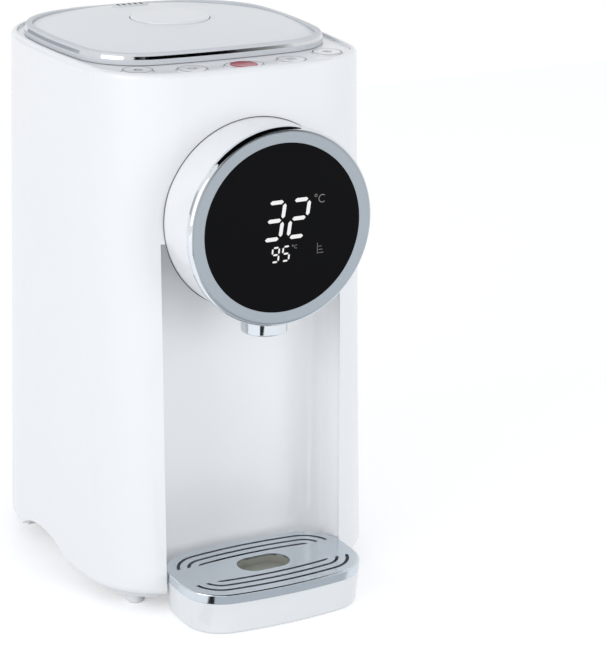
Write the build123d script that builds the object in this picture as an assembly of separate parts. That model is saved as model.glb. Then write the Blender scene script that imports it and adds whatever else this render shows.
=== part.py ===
# Hot water dispenser: an electric 5 litre pot in a moulded housing, with a round display pod over a cup bay,
# five keys on the deck, a hinged lid and a drip tray that slides out of the bay.
# Units are millimetres. X runs to the right, -Y to the front, +Z up, and z = 0 is the table.
# While a piece is modelled, y = 0 is the front of the housing at its top rim. Each piece is moved at the end,
# so that the origin lies on the table under the middle of the whole object.

import os
from math import cos, radians, sin, sqrt, tan

from build123d import *

# Housing
rim_z = 340.0
shell_bottom_z = 11.5
tank_side_room = 15.8
tank_front_gap = 2.8
tank_rear_room = 18.0
widest_behind_tank = 2.6
body_front_bow = 4.6
body_front_lean = 9.4
body_front_corner = 44.6
body_rear_bow = 9.2
body_rear_lean = 13.3
body_rear_corner = 65.2
wall_draft = 1.4
shell_wall = 2.6
shell_foot_wall = 6.8
shell_foot_height = 7.0
shell_foot_round = 5.5
rim_width = 3.6
rim_round = 3.0
rim_inner_round = 0.4
fit_gap = 0.3

# Cup bay
bay_side_room = 31.6
bay_depth = 35.0
bay_below_pod = 12.5
bay_corner = 17.0
bay_wall = 2.2
bay_floor_z = 13.0
bay_floor_thick = 2.0

# Finger grips in the lower edge of both sides
grip_ahead = 14.0
grip_length = 84.0
grip_top_z = 25.5
grip_depth = 14.0

# Base
base_z = 8.5
base_thick = 4.0
lip_top_z = 23.0
lip_wall = 2.0
foot_radius = 6.0
foot_side_inset = 22.4
foot_front_y = 24.0
foot_rear_inset = 36.0
foot_stud_radius = 3.0
foot_stud_height = 5.0
screw_inset = 16.0
screw_radius = 1.6
screw_head_radius = 3.2
screw_head_height = 1.6
screw_boss_radius = 4.5
screw_boss_height = 9.0
running_gap = 0.1

# Deck and keys
deck_drop = 1.7
deck_gap = 0.1
deck_thick = 3.0
ledge_width = 1.2
ledge_thick = 2.4
mouth_inset = 11.0
key_radius = 9.4
main_key_half_width = 12.9
lens_radius = 8.4
lens_thick = 1.2
lens_proud = 0.4
key_thick = 4.0
key_proud = 0.7
key_flange = 1.0
key_flange_thick = 1.2
key_gap = 0.4
key_travel = 1.0
key_pitch = 33.2
key_side_inset = 29.1
key_main_y = 14.2
key_inner_y = 16.2
key_outer_y = 27.0
key_stem_radius = 2.2
switch_board_thick = 1.6
switch_board_drop = 9.0
switch_board_inset = 3.0
switch_board_rear_y = 34.0
switch_size = 6.0
switch_height = 4.0
board_post_radius = 2.5
board_post_key_gap = 15.05
board_post_front_y = 11.5
board_post_rear_y = 30.0

# Lid
lid_front_y = 34.0
lid_side_margin = 7.4
lid_rear_margin = 13.4
lid_widest_behind = 2.4
lid_front_bow = 5.4
lid_front_lean = 9.2
lid_front_corner = 41.1
lid_rear_bow = 13.0
lid_rear_lean = 6.8
lid_rear_corner = 54.0
lid_seat_gap = 0.4
ring_height = 6.6
ring_width = 6.0
ring_wall = 3.0
ring_bevel_width = 3.4
ring_bevel_drop = 1.4
cover_edge_drop = 0.3
ring_ledge_thick = 2.0
ring_ledge_width = 2.0
lid_crown = 5.4
lid_skin = 2.4
hinge_behind_lid = 4.4
hinge_above_deck = 2.7
hinge_radius = 3.0
hinge_pin_radius = 1.5
hinge_half_width = 24.0
hinge_lug_width = 7.0
hinge_clearance = 0.6
plug_gap = 3.0
plug_height = 9.0
plug_wall = 2.2
gasket_groove = 1.2
gasket_outside_mouth = 3.6
gasket_width = 3.2

# Lid lever, latch and steam vent
lever_radius = 25.0
lever_thick = 3.2
lever_gap = 0.6
lever_tail_gap = 1.0
lever_edge_round = 1.4
lever_proud = 0.9
lever_axis_back = 17.0
lever_tail = 3.5
lever_barrel_radius = 2.2
lever_pin_radius = 1.0
lever_pin_wall = 3.0
lever_well_depth = 5.1
lever_well_wall = 1.8
lever_leg_width = 5.0
lever_leg_thick = 4.0
lever_leg_ahead = 11.5
lever_leg_gap = 0.7
lever_slot_room = 4.5
latch_width = 18.0
latch_height = 3.0
latch_hold = 3.0
latch_length = 82.0
latch_tab_height = 3.0
latch_tab_thick = 4.0
vent_half_width = 13.0
vent_half_depth = 5.5
vent_proud = 0.8
vent_slot_count = 5
vent_slot_width = 1.4
vent_slot_length = 6.0
vent_pitch = 4.0
vent_rear_inset = 34.0

# Display pod
pod_drop = 89.5
pod_front_y = -37.4
pod_radius = 59.4
pod_wall = 2.4
bezel_proud = 1.5
bezel_face = 9.3
bezel_depth = 4.8
bezel_round = 3.0
bezel_spigot = 4.0
glass_thick = 2.0
glass_gap = 0.2
glass_seat = 3.5
pod_cover_gap = 0.6
pod_cover_thick = 2.0
neck_rise = 25.5
neck_radius = 20.0
neck_wall = 2.0
neck_length = 8.6
lock_ring_width = 6.0
lock_ring_thick = 3.0
display_board_thick = 1.6
display_module_width = 58.0
display_module_height = 62.0
display_glass_gap = 0.3

# Nozzle
nozzle_y = -14.0
collar_radius = 14.2
collar_below_pod = 10.6
collar_wall = 1.6
collar_edge_round = 1.0
collar_recess = 3.0
spout_radius = 5.0
spout_bore = 2.4
spout_rise = 1.0
spout_flange_radius = 5.7
spout_flange_thick = 1.5
nozzle_seat_radius = 10.0
nozzle_seat_height = 9.0
barb_radius = 3.3
barb_length = 12.0

# Drip tray
tray_side_gap = 0.4
tray_depth = 75.0
tray_front_y = -53.0
tray_bow = 5.7
tray_lean = 3.3
tray_corner = 26.5
tray_rim_z = 21.6
tray_top_z = 27.6
tray_draft = 5.0
tray_wall = 1.8
tray_skirt = 1.2
tray_foot_round = 2.5
tray_bay_gap = 0.6
tray_lip_top_z = 24.5
grid_thick = 1.4
grid_edge_round = 1.0
slot_width = 2.2
slot_first_inset = 7.7
slot_pitch = 6.6
slot_start = 13.0
drain_half_width = 17.5
drain_half_depth = 10.6
drain_cup_wall = 1.5
drain_cup_depth = 6.0
drain_hole_radius = 1.6
drain_hole_pitch = 6.0

# Tank and heating
tank_radius = 77.0
tank_wall = 1.2
tank_above_pump = 14.0
tank_bottom_round = 6.0
tank_neck_inset = 5.0
tank_shoulder_drop = 16.1
tank_neck_drop = 8.1
tank_flange_width = 4.0
tank_gasket_thick = 1.2
plate_inset = 31.0
plate_thick = 6.0
coil_inset = 16.0
coil_wire_radius = 4.0
coil_lead_length = 14.0
coil_open_angle = 40.0
thermostat_radius = 7.5
thermostat_height = 9.0
thermostat_offset = 12.0
band_rise = 18.0
band_height = 30.0
band_thick = 2.0
cradle_inset = 9.0
cradle_width = 7.0
cradle_thick = 5.0
cradle_post_radius = 4.0
outlet_radius = 4.5
outlet_bore = 3.2
outlet_length = 8.0
outlet_inset = 23.3
sensor_rise = 66.0
sensor_radius = 4.0
sensor_length = 7.0

# Pump and hoses
pump_radius = 19.0
pump_wall = 3.0
motor_height = 20.5
pump_height = 15.0
motor_radius = 14.0
motor_foot = 1.5
shaft_radius = 1.5
shaft_gap = 0.1
impeller_radius = 14.0
impeller_gap = 1.0
impeller_disc = 2.0
vane_count = 6
vane_height = 5.0
vane_thick = 1.6
port_radius = 3.3
port_bore = 2.2
port_offset = 11.0
port_length = 7.0
hose_radius = 4.8
hose_bore = 3.4
riser_bay_gap = 5.0
riser_tank_gap = 1.3
riser_turn_x = 6.0
riser_turn_y = 20.0
hose_bend = 9.0

# Rear inlet and boards
inlet_z = 52.0
inlet_half_width = 14.0
inlet_half_height = 10.5
inlet_round = 4.0
inlet_flange = 3.5
inlet_flange_thick = 1.6
inlet_depth = 18.0
inlet_wall = 2.2
inlet_pin_radius = 2.0
inlet_pin_spacing = 7.0
inlet_pin_drop = 3.0
inlet_pin_length = 11.0
power_board_width = 90.0
power_board_depth = 30.0
power_board_rear_inset = 47.0
power_board_z = 24.0
board_standoff_radius = 3.0
transformer_size = 20.0
relay_width = 15.0
capacitor_height = 16.0
capacitor_pitch = 14.0
capacitor_edge = 8.0
transformer_edge = 6.0
standoff_edge = 4.0
capacitor_radius = 6.0

# Values that follow from the ones above: the housing's plan wraps round the tank and the bay
tray_reach = -tray_front_y
spread_slope = tan(radians(wall_draft))
tank_y = bay_depth + bay_wall + tank_front_gap + tank_radius
body_half_width = tank_radius + tank_side_room
body_depth = tank_y + tank_radius + tank_rear_room
body_widest_y = tank_y + widest_behind_tank
bay_half_width = body_half_width - bay_side_room
tray_half_width = bay_half_width - tray_side_gap
grip_y = tank_y - grip_ahead
foot_x = body_half_width - foot_side_inset
foot_rear_y = body_depth - foot_rear_inset
key_outer_x = body_half_width - key_side_inset
power_board_y = body_depth - power_board_rear_inset

# Pieces round the tank's axis
mouth_radius = tank_radius - mouth_inset
plug_radius = mouth_radius - plug_gap
gasket_radius = mouth_radius + gasket_outside_mouth
tank_neck_radius = tank_radius - tank_neck_inset
cradle_radius = tank_radius - cradle_inset
plate_radius = tank_radius - plate_inset
coil_radius = plate_radius - coil_inset

# The lid's plan
lid_half_width = body_half_width - lid_side_margin
lid_rear_y = body_depth - lid_rear_margin
lid_depth = lid_rear_y - lid_front_y
lid_widest_y = tank_y + lid_widest_behind - lid_front_y
hinge_y = lid_rear_y + hinge_behind_lid
vent_y = body_depth - vent_rear_inset

# Heights
deck_z = rim_z - deck_drop
deck_bottom_z = deck_z - deck_thick
pod_z = rim_z - pod_drop
bay_top_z = pod_z - bay_below_pod
neck_z = pod_z + neck_rise
collar_bottom_z = pod_z - pod_radius - collar_below_pod
hinge_z = deck_z + hinge_above_deck
pump_bottom_z = base_z + base_thick + motor_height
tank_bottom_z = pump_bottom_z + pump_height + tank_above_pump
band_bottom_z = tank_bottom_z + band_rise
sensor_z = tank_bottom_z + sensor_rise
board_top_z = deck_bottom_z - switch_board_drop
lid_bottom_z = deck_z + lid_seat_gap
lid_top_z = lid_bottom_z + ring_height
cover_edge_z = lid_top_z - cover_edge_drop
crown_z = cover_edge_z + lid_crown
cover_bottom_z = lid_bottom_z + ring_ledge_thick
lever_y = tank_y + lever_axis_back
lever_top_z = crown_z + lever_proud
lever_z = lever_top_z - lever_thick
lever_well_floor_z = crown_z - lever_well_depth
latch_z = deck_bottom_z - fit_gap - latch_height
latch_front_y = tank_y - mouth_radius - latch_hold
tray_centre_y = tray_front_y + tray_depth / 2
tank_top_z = deck_bottom_z - tank_gasket_thick
tank_shoulder_z = tank_top_z - tank_shoulder_drop
tank_neck_z = tank_top_z - tank_neck_drop
bezel_rear_y = pod_front_y + bezel_depth
bezel_radius = pod_radius + bezel_proud
glass_radius = bezel_radius - bezel_face
pod_cover_y = -spread_slope * (rim_z - pod_z + pod_radius) - pod_cover_gap
grip_height = grip_top_z - shell_bottom_z
grip_radius = ((grip_length / 2) ** 2 + grip_height**2) / (2 * grip_height)
port_z = pump_bottom_z + pump_height / 2
riser_y = bay_depth + bay_wall + riser_bay_gap + hose_radius
riser_reach = tank_radius + fit_gap + band_thick + riser_tank_gap + hose_radius
riser_x = sqrt(riser_reach**2 - (tank_y - riser_y) ** 2)
pump_x = riser_x - port_offset
pump_y = tank_y - sqrt((tank_radius - outlet_inset) ** 2 - pump_x**2)
rear_y = body_depth + spread_slope * (rim_z - shell_bottom_z)
overall_depth = rear_y + tray_reach
origin_y = (rear_y - tray_reach) / 2


def spread(z):
    """How far the drafted wall stands outside the rim outline at height z."""
    return spread_slope * (rim_z - z)


def bowed_plan(half_width, depth, widest_y, bow, lean, corner):
    """Plan outline with its front at y = 0: bowed sides that run tangent through the widest place, and round
    corners. bow, lean and corner are pairs, front and rear: how far an end bows, how far a side leans in at
    that end, and the corner radius."""
    front = (half_width - lean[0], bow[0])
    rear = (half_width - lean[1], depth - bow[1])
    right = [
        TangentArc((half_width, widest_y), front, tangent=(0, -1)),
        TangentArc((half_width, widest_y), rear, tangent=(0, 1)),
    ]
    left = [mirror(side, about=Plane.YZ) for side in right]
    ends = [
        ThreePointArc((-front[0], front[1]), (0, 0), front),
        ThreePointArc((-rear[0], rear[1]), (0, depth), rear),
    ]
    plan = make_face(right + left + ends).face()
    for radius, end_y in zip(corner, (front[1], rear[1])):
        points = [v for v in plan.vertices() if abs(v.Y - end_y) < 1e-6 and abs(v.X) > half_width / 2]
        plan = plan.fillet_2d(radius, points)
    return plan


body_plan = bowed_plan(
    body_half_width, body_depth, body_widest_y,
    (body_front_bow, body_rear_bow), (body_front_lean, body_rear_lean),
    (body_front_corner, body_rear_corner),
)
lid_plan = Pos(0, lid_front_y) * bowed_plan(
    lid_half_width, lid_depth, lid_widest_y,
    (lid_front_bow, lid_rear_bow), (lid_front_lean, lid_rear_lean),
    (lid_front_corner, lid_rear_corner),
)
tray_plan = Pos(0, tray_front_y) * bowed_plan(
    tray_half_width, tray_depth, tray_depth / 2,
    (tray_bow, tray_bow), (tray_lean, tray_lean), (tray_corner, tray_corner),
)


def grown(plan, amount):
    """The plan outline moved outwards, or inwards where amount is negative: each of its tangent arcs keeps
    its centre and changes its radius."""
    arcs = []
    for arc in plan.outer_wire().edges():
        centre = arc.arc_center
        share = (arc.radius + amount) / arc.radius
        points = [centre + (arc.position_at(place) - centre) * share for place in (0, 0.5, 1)]
        arcs.append(ThreePointArc(*points))
    return make_face(arcs).face()


def prism(plan, z_low, z_high, taper=0.0):
    """The plan outline, laid at z_low and drawn up to z_high."""
    return extrude(Pos(0, 0, z_low) * plan, amount=z_high - z_low, dir=(0, 0, 1), taper=taper)


def hanging_prism(plan, z_low, z_high, taper):
    """The plan outline, laid at z_high and drawn down to z_low, narrower towards the bottom."""
    return mirror(prism(plan, -z_high, -z_low, taper=taper), about=Plane.XY)


def body_solid(inset, z_low, z_high):
    """The drafted form of the housing, inset from its outside, between two heights."""
    return prism(grown(body_plan, spread(z_low) - inset), z_low, z_high, taper=wall_draft)


def block(x_low, x_high, y_low, y_high, z_low, z_high):
    size = (x_high - x_low, y_high - y_low, z_high - z_low)
    middle = ((x_low + x_high) / 2, (y_low + y_high) / 2, (z_low + z_high) / 2)
    return Pos(*middle) * Box(*size)


def post(radius, x, y, z_low, z_high):
    return Pos(x, y, (z_low + z_high) / 2) * Cylinder(radius, z_high - z_low)


def tube(radius, bore, x, y, z_low, z_high):
    return post(radius, x, y, z_low, z_high) - post(bore, x, y, z_low - 1, z_high + 1)


def pod_disc(radius, y_front, y_rear, z=None):
    """A round disc on the pod's axis, or on another height z, between two depths."""
    middle = Pos(0, (y_front + y_rear) / 2, pod_z if z is None else z)
    return middle * Rot(90, 0, 0) * Cylinder(radius, y_rear - y_front)


def one_solid(shape):
    """The biggest solid of a shape, for a piece that a cut may leave crumbs of."""
    return max(shape.solids(), key=lambda s: s.volume)


nodes = {}


def keep(name, shape):
    """Puts a finished piece into the model under its name."""
    nodes[name] = shape


# Housing shell: a drafted ring with a ledge for the deck, open below, with the bay cut out of its front
def bay_plan(growth=0.0):
    """The bay's plan: straight sides, a flat back and two round inner corners, open at the front."""
    half = bay_half_width + growth
    plan = Pos(0, (bay_depth + growth - body_depth) / 2) * Rectangle(2 * half, body_depth + bay_depth + growth)
    back = plan.vertices().group_by(Axis.Y)[-1]
    return fillet(back, bay_corner + growth)


def grip_cutter(depth_from_outside, growth=0.0):
    """The long shallow arch for fingers, cut inwards from both sides of the lower edge."""
    arch = Pos(grip_y, grip_top_z - grip_radius) * Circle(grip_radius + growth)
    full = extrude(Plane.YZ * arch, amount=2 * body_half_width, both=True)
    return full - block(
        -body_half_width + depth_from_outside, body_half_width - depth_from_outside,
        0, body_depth, -1, rim_z,
    )


def pod_neck_hole():
    return pod_disc(neck_radius + fit_gap, -bay_depth, bay_depth, neck_z)


def inlet_plan(growth):
    """Rounded rectangle of the power inlet, seen from the rear."""
    return RectangleRounded(
        2 * (inlet_half_width + growth), 2 * (inlet_half_height + growth), inlet_round + growth
    )


def inlet_prism(growth, y_low, y_high):
    plane = Plane(origin=(0, y_high, inlet_z), x_dir=(-1, 0, 0), z_dir=(0, 1, 0))
    return extrude(plane * inlet_plan(growth), amount=y_low - y_high)


def shell_room(gap, z_low, z_high):
    """The free room inside the shell, a gap away from its wall and from the thicker wall at its foot."""
    foot_top_z = shell_bottom_z + shell_foot_height + gap
    return body_solid(shell_foot_wall + gap, z_low, foot_top_z) + body_solid(shell_wall + gap, foot_top_z, z_high)


def make_housing_shell():
    ledge_z = deck_bottom_z - ledge_thick
    shell = body_solid(0, shell_bottom_z, rim_z)
    shell = fillet(shell.edges().group_by(Axis.Z)[0], shell_foot_round)
    shell = fillet(shell.edges().group_by(Axis.Z)[-1], rim_round)
    shell -= body_solid(shell_foot_wall, shell_bottom_z - 1, shell_bottom_z + shell_foot_height + 1)
    shell -= body_solid(shell_wall, shell_bottom_z + shell_foot_height, ledge_z)
    shell -= body_solid(rim_width + ledge_width, ledge_z - 1, rim_z + 1)
    shell -= body_solid(rim_width, deck_bottom_z, rim_z + 1)
    for _, x, y, half_width in key_places():
        shell -= key_prism(x, y, half_width, key_flange + fit_gap, ledge_z - 1, deck_bottom_z)
    rim_edges = shell.edges().filter_by(lambda e: abs(e.center().Z - rim_z) < 0.01)
    shell = fillet([e for e in rim_edges if is_inner(e)], rim_inner_round)
    shell -= extrude(bay_plan(0), amount=bay_top_z)
    shell -= grip_cutter(grip_depth)
    shell -= pod_neck_hole()
    shell -= inlet_prism(fit_gap, body_depth - bay_depth, body_depth + bay_depth)
    keep("housing_shell", one_solid(shell))


def is_inner(edge):
    """True for an edge of the rim that lies next to the deck."""
    middle = edge.position_at(0.5)
    return grown(body_plan, -rim_width + rim_inner_round / 2).is_inside(Vector(middle.X, middle.Y, 0))


# Bay panel: side walls, back, ceiling and a floor that goes round the tray
def make_bay_panel():
    outer = extrude(bay_plan(bay_wall), amount=bay_top_z + bay_wall) - block(
        -body_half_width, body_half_width, -body_depth, body_depth, -1, shell_bottom_z
    )
    hollow = extrude(bay_plan(0), amount=bay_top_z)
    room = shell_room(running_gap, shell_bottom_z, rim_z)
    panel = (outer - hollow) & room
    floor = Pos(0, 0, bay_floor_z) * extrude(bay_plan(0.5 * bay_wall), amount=bay_floor_thick)
    floor &= room
    floor -= prism(grown(tray_plan, tray_bay_gap), 0, tray_top_z)
    panel = panel + floor
    keep("bay_panel", one_solid(panel))


# Base plate with its upstanding lip, feet and screws
screw_places = [
    (x, y)
    for x in (-(foot_x - screw_inset / 4), foot_x - screw_inset / 4)
    for y in (foot_front_y + screw_inset, foot_rear_y - screw_inset)
]
foot_places = [(x, y) for x in (-foot_x, foot_x) for y in (foot_front_y, foot_rear_y)]


def make_base():
    inset = shell_foot_wall + fit_gap
    plate = body_solid(inset, base_z, base_z + base_thick)
    lip = body_solid(inset, base_z, lip_top_z) - body_solid(inset + lip_wall, base_z - 1, lip_top_z + 1)
    base = plate + lip
    for x, y in screw_places:
        base += post(screw_boss_radius, x, y, base_z, base_z + base_thick + screw_boss_height)
    base -= extrude(bay_plan(bay_wall + fit_gap), amount=lip_top_z + 1)
    base -= grip_cutter(grip_depth - lip_wall)
    base += grip_pockets()
    for x, y in foot_places:
        base -= post(foot_stud_radius + running_gap, x, y, 0, base_z + base_thick + 1)
    for x, y in screw_places:
        base -= post(screw_radius + running_gap / 2, x, y, 0, base_z + base_thick + screw_boss_height - 2)
        base -= post(screw_head_radius + running_gap, x, y, 0, base_z + screw_head_height)
    keep("base_plate", one_solid(base))


def grip_pockets():
    """The hood over and behind each finger grip."""
    room = shell_room(fit_gap, base_z, grip_top_z + 2 * lip_wall)
    return (grip_cutter(grip_depth, lip_wall) & room) - grip_cutter(grip_depth - lip_wall)


def make_feet():
    feet = []
    for x, y in foot_places:
        pad = post(foot_radius, x, y, 0, base_z)
        pad = chamfer(pad.edges().group_by(Axis.Z)[0], 1.0)
        stud = post(foot_stud_radius, x, y, base_z - 1, base_z + foot_stud_height)
        feet.append(pad + stud)
    keep("feet", Compound(children=[one_solid(f) for f in feet]))


def make_base_screws():
    screws = []
    for x, y in screw_places:
        shank = post(screw_radius, x, y, base_z, base_z + base_thick + screw_boss_height - 3)
        head = post(screw_head_radius, x, y, base_z - 0.2, base_z + screw_head_height - running_gap)
        screws.append(one_solid(shank + head))
    keep("base_screws", Compound(children=screws))


# Deck, keys and switch board
def key_places():
    """Name, centre and plan half width of each key, from left to right."""
    return [
        ("key_lock", -key_outer_x, key_outer_y, key_radius),
        ("key_volume", -key_pitch, key_inner_y, key_radius),
        ("key_dispense", 0.0, key_main_y, main_key_half_width),
        ("key_heat", key_pitch, key_inner_y, key_radius),
        ("key_boil", key_outer_x, key_outer_y, key_radius),
    ]


def key_prism(x, y, half_width, growth, z_low, z_high):
    """A key's round or oval form, grown all round, between two heights."""
    plan = Pos(x, y) * Ellipse(half_width + growth, key_radius + growth)
    if half_width == key_radius:
        plan = Pos(x, y) * Circle(key_radius + growth)
    return prism(plan, z_low, z_high)


def board_posts():
    """In front the posts stand beside the inner keys, at the rear beside the outer ones."""
    places = []
    for side in (-1, 1):
        places.append((side * (key_pitch + board_post_key_gap), board_post_front_y))
        places.append((side * (key_outer_x - board_post_key_gap), board_post_rear_y))
    return places


def hinge_cylinder(radius, half_length):
    return Pos(0, hinge_y, hinge_z) * Rot(0, 90, 0) * Cylinder(radius, 2 * half_length)


def hinge_lug():
    """The right-hand lug that holds the hinge pin on the deck."""
    x_low = hinge_half_width + fit_gap
    x_high = x_low + hinge_lug_width
    base = block(x_low, x_high, hinge_y - hinge_radius, hinge_y + hinge_radius, deck_bottom_z, hinge_z)
    eye = Pos((x_low + x_high) / 2, hinge_y, hinge_z) * Rot(0, 90, 0) * Cylinder(hinge_radius, hinge_lug_width)
    return base + eye


def make_deck():
    deck = prism(grown(body_plan, spread(deck_z) - rim_width - deck_gap), deck_bottom_z, deck_z)
    deck -= post(mouth_radius, 0, tank_y, deck_bottom_z - 1, deck_z + 1)
    for _, x, y, half_width in key_places():
        deck -= key_prism(x, y, half_width, key_gap, deck_bottom_z - 1, deck_z + 1)
    deck -= hinge_cylinder(hinge_radius + hinge_clearance, hinge_half_width + fit_gap)
    lug = hinge_lug()
    deck = deck + lug + mirror(lug, about=Plane.YZ)
    deck -= hinge_cylinder(hinge_pin_radius + running_gap, body_half_width)
    for x, y in board_posts():
        deck += post(board_post_radius, x, y, board_top_z, deck_bottom_z + deck_thick / 2)
    keep("top_deck", one_solid(deck))
    keep("hinge_pin", hinge_cylinder(hinge_pin_radius, hinge_half_width + hinge_lug_width))


def make_keys():
    cap_bottom_z = deck_bottom_z - fit_gap
    stem_bottom_z = board_top_z + switch_height + key_travel + 0.2
    for name, x, y, half_width in key_places():
        cap = key_prism(x, y, half_width, 0, cap_bottom_z, deck_z + key_proud)
        cap = fillet(cap.edges().group_by(Axis.Z)[-1], key_proud)
        cap += key_prism(x, y, half_width, key_flange, cap_bottom_z - key_flange_thick, cap_bottom_z)
        cap += post(key_stem_radius, x, y, stem_bottom_z, cap_bottom_z)
        if name == "key_dispense":
            top_z = deck_z + key_proud
            cap -= post(lens_radius + running_gap, x, y, top_z - lens_thick, top_z + 1)
            lens = post(lens_radius, x, y, top_z - lens_thick, top_z + lens_proud)
            keep("key_lens", fillet(lens.edges().group_by(Axis.Z)[-1], lens_proud))
        keep(name, one_solid(cap))


def make_switch_board():
    board = prism(
        grown(body_plan, -shell_wall - switch_board_inset), board_top_z - switch_board_thick, board_top_z
    )
    board &= block(-body_half_width, body_half_width, 0, switch_board_rear_y, 0, rim_z)
    for _, x, y, _ in key_places():
        half = switch_size / 2
        board += block(x - half, x + half, y - half, y + half, board_top_z - 0.5, board_top_z + switch_height)
    keep("switch_board", one_solid(board))


# Lid: bright ring with a ledge, crowned cover on it, base with the plug that closes the tank
def dome(z_top):
    """A very large ball whose top stands at z_top over the lid's middle: it gives the cover its crown."""
    reach = lid_half_width - ring_width
    radius = (reach**2 + lid_crown**2) / (2 * lid_crown)
    return Pos(0, tank_y, z_top - radius) * Sphere(radius)


def hinge_notch(growth):
    """The way for the hinge tongue through the lid's rear edge."""
    half = hinge_half_width + growth
    return block(-half, half, lid_front_y + lid_depth / 2, hinge_y, lid_bottom_z - 1,
                 cover_bottom_z + growth)


def make_lid_ring():
    ring = prism(lid_plan, lid_bottom_z, lid_top_z)
    top = ring.edges().group_by(Axis.Z)[-1]
    ring = chamfer(top, ring_bevel_drop, ring_bevel_width, reference=ring.faces().sort_by(Axis.Z)[-1])
    ring -= prism(grown(lid_plan, -ring_wall - ring_bevel_width + ring_bevel_drop), cover_bottom_z, lid_top_z + 1)
    ring -= prism(grown(lid_plan, -ring_width - ring_ledge_width), lid_bottom_z - 1, lid_top_z)
    ring -= hinge_notch(fit_gap)
    keep("lid_trim_ring", one_solid(ring))


def lever_plan(growth, tail_growth):
    """Round plate with a straight tail just behind its pivot."""
    plate = Pos(0, tank_y) * Circle(lever_radius + growth)
    cut_y = lever_y + lever_tail + tail_growth
    return plate & Pos(0, cut_y - body_depth / 2) * Rectangle(body_depth, body_depth)


def lever_axis_rod(radius, half_length):
    return Pos(0, lever_y, lever_z) * Rot(0, 90, 0) * Cylinder(radius, 2 * half_length)


def lever_slot():
    """The slot for the lever's leg, through the well floor and the lid base."""
    half = lever_leg_width / 2 + lever_gap
    middle = lever_y - lever_leg_ahead
    return block(-half, half, middle - lever_leg_thick / 2 - lever_slot_room - 1,
                 middle + lever_leg_thick / 2 + 1, latch_z, crown_z)


def make_lid_cover():
    inset = ring_wall + ring_bevel_width - ring_bevel_drop + running_gap
    plan = grown(lid_plan, -inset)
    cover = prism(plan, cover_bottom_z, crown_z + 1) & dome(crown_z)
    hollow = prism(grown(lid_plan, -inset - lid_skin), cover_bottom_z - 1, crown_z + 1) & dome(crown_z - lid_skin)
    well_plan = lever_plan(lever_gap + lever_well_wall, lever_tail_gap + lever_well_wall)
    cup = prism(well_plan, lever_well_floor_z - lever_well_wall, crown_z)
    vent_cup = prism(vent_plan(fit_gap + lever_well_wall), cover_bottom_z, crown_z)
    cover = cover - (hollow - cup - vent_cup)
    cover -= prism(lever_plan(lever_gap, lever_tail_gap), lever_well_floor_z, crown_z + 1)
    cover -= prism(vent_plan(running_gap), cover_bottom_z - 1, crown_z + 1)
    cover -= lever_axis_rod(lever_pin_radius + running_gap, pin_half_length() + running_gap)
    cover -= lever_slot()
    keep("lid_cover", one_solid(cover))


def pin_half_length():
    """The pin reaches into the wall of the lever's well on both sides."""
    return sqrt((lever_radius + lever_gap) ** 2 - lever_axis_back**2) + lever_pin_wall


def vent_plan(growth):
    return Pos(0, vent_y) * Ellipse(vent_half_width + growth, vent_half_depth + growth)


def make_steam_vent():
    vent = prism(vent_plan(0), cover_bottom_z + fit_gap, crown_z) & dome(crown_z + vent_proud)
    for i in range(vent_slot_count):
        x = (i - (vent_slot_count - 1) / 2) * vent_pitch
        slot = Pos(x, vent_y) * SlotOverall(vent_slot_length, vent_slot_width, rotation=90)
        vent -= prism(slot, cover_bottom_z, crown_z + 1)
    keep("steam_vent", one_solid(vent))


def make_lid_base():
    plate = prism(grown(lid_plan, -ring_width - ring_ledge_width - running_gap), lid_bottom_z, cover_bottom_z)
    plug_bottom_z = lid_bottom_z - plug_height
    plate += post(plug_radius, 0, tank_y, plug_bottom_z, cover_bottom_z)
    plate -= post(plug_radius - plug_wall, 0, tank_y, plug_bottom_z + plug_wall, lid_bottom_z)
    ring = tube(gasket_radius, gasket_radius - gasket_width, 0, tank_y, lid_bottom_z, lid_bottom_z + gasket_groove)
    plate -= ring
    tongue_y = tank_y + gasket_radius + fit_gap
    plate += block(-hinge_half_width, hinge_half_width, tongue_y, hinge_y, lid_bottom_z, cover_bottom_z)
    plate += hinge_cylinder(hinge_radius, hinge_half_width)
    plate -= hinge_cylinder(hinge_pin_radius + running_gap, hinge_half_width + 1)
    plate -= prism(vent_plan(-ring_ledge_thick), lid_bottom_z - 1, cover_bottom_z + 1)
    plate -= block(
        -latch_width / 2 - fit_gap, latch_width / 2 + fit_gap, 0, tank_y,
        latch_z - fit_gap, latch_z + latch_height + fit_gap,
    )
    plate -= lever_slot()
    keep("lid_base", one_solid(plate))
    gasket = tube(
        gasket_radius - running_gap, gasket_radius - gasket_width + running_gap, 0, tank_y,
        deck_z + 0.05, lid_bottom_z + gasket_groove,
    )
    keep("lid_gasket", gasket)


def make_lid_lever():
    lever = prism(lever_plan(0, 0), lever_z, lever_top_z)
    lever = fillet(lever.edges().group_by(Axis.Z)[-1], lever_edge_round)
    barrel_reach = sqrt(lever_radius**2 - (lever_axis_back + lever_barrel_radius) ** 2)
    lever += lever_axis_rod(lever_barrel_radius, barrel_reach)
    lever -= lever_axis_rod(lever_pin_radius + running_gap, lever_radius)
    middle = lever_y - lever_leg_ahead
    lever += block(
        -lever_leg_width / 2, lever_leg_width / 2, middle - lever_leg_thick / 2, middle + lever_leg_thick / 2,
        latch_z + latch_height + lever_leg_gap, lever_z + lever_thick / 2,
    )
    keep("lid_lever", one_solid(lever))
    keep("lever_pin", lever_axis_rod(lever_pin_radius, pin_half_length()))


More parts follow.
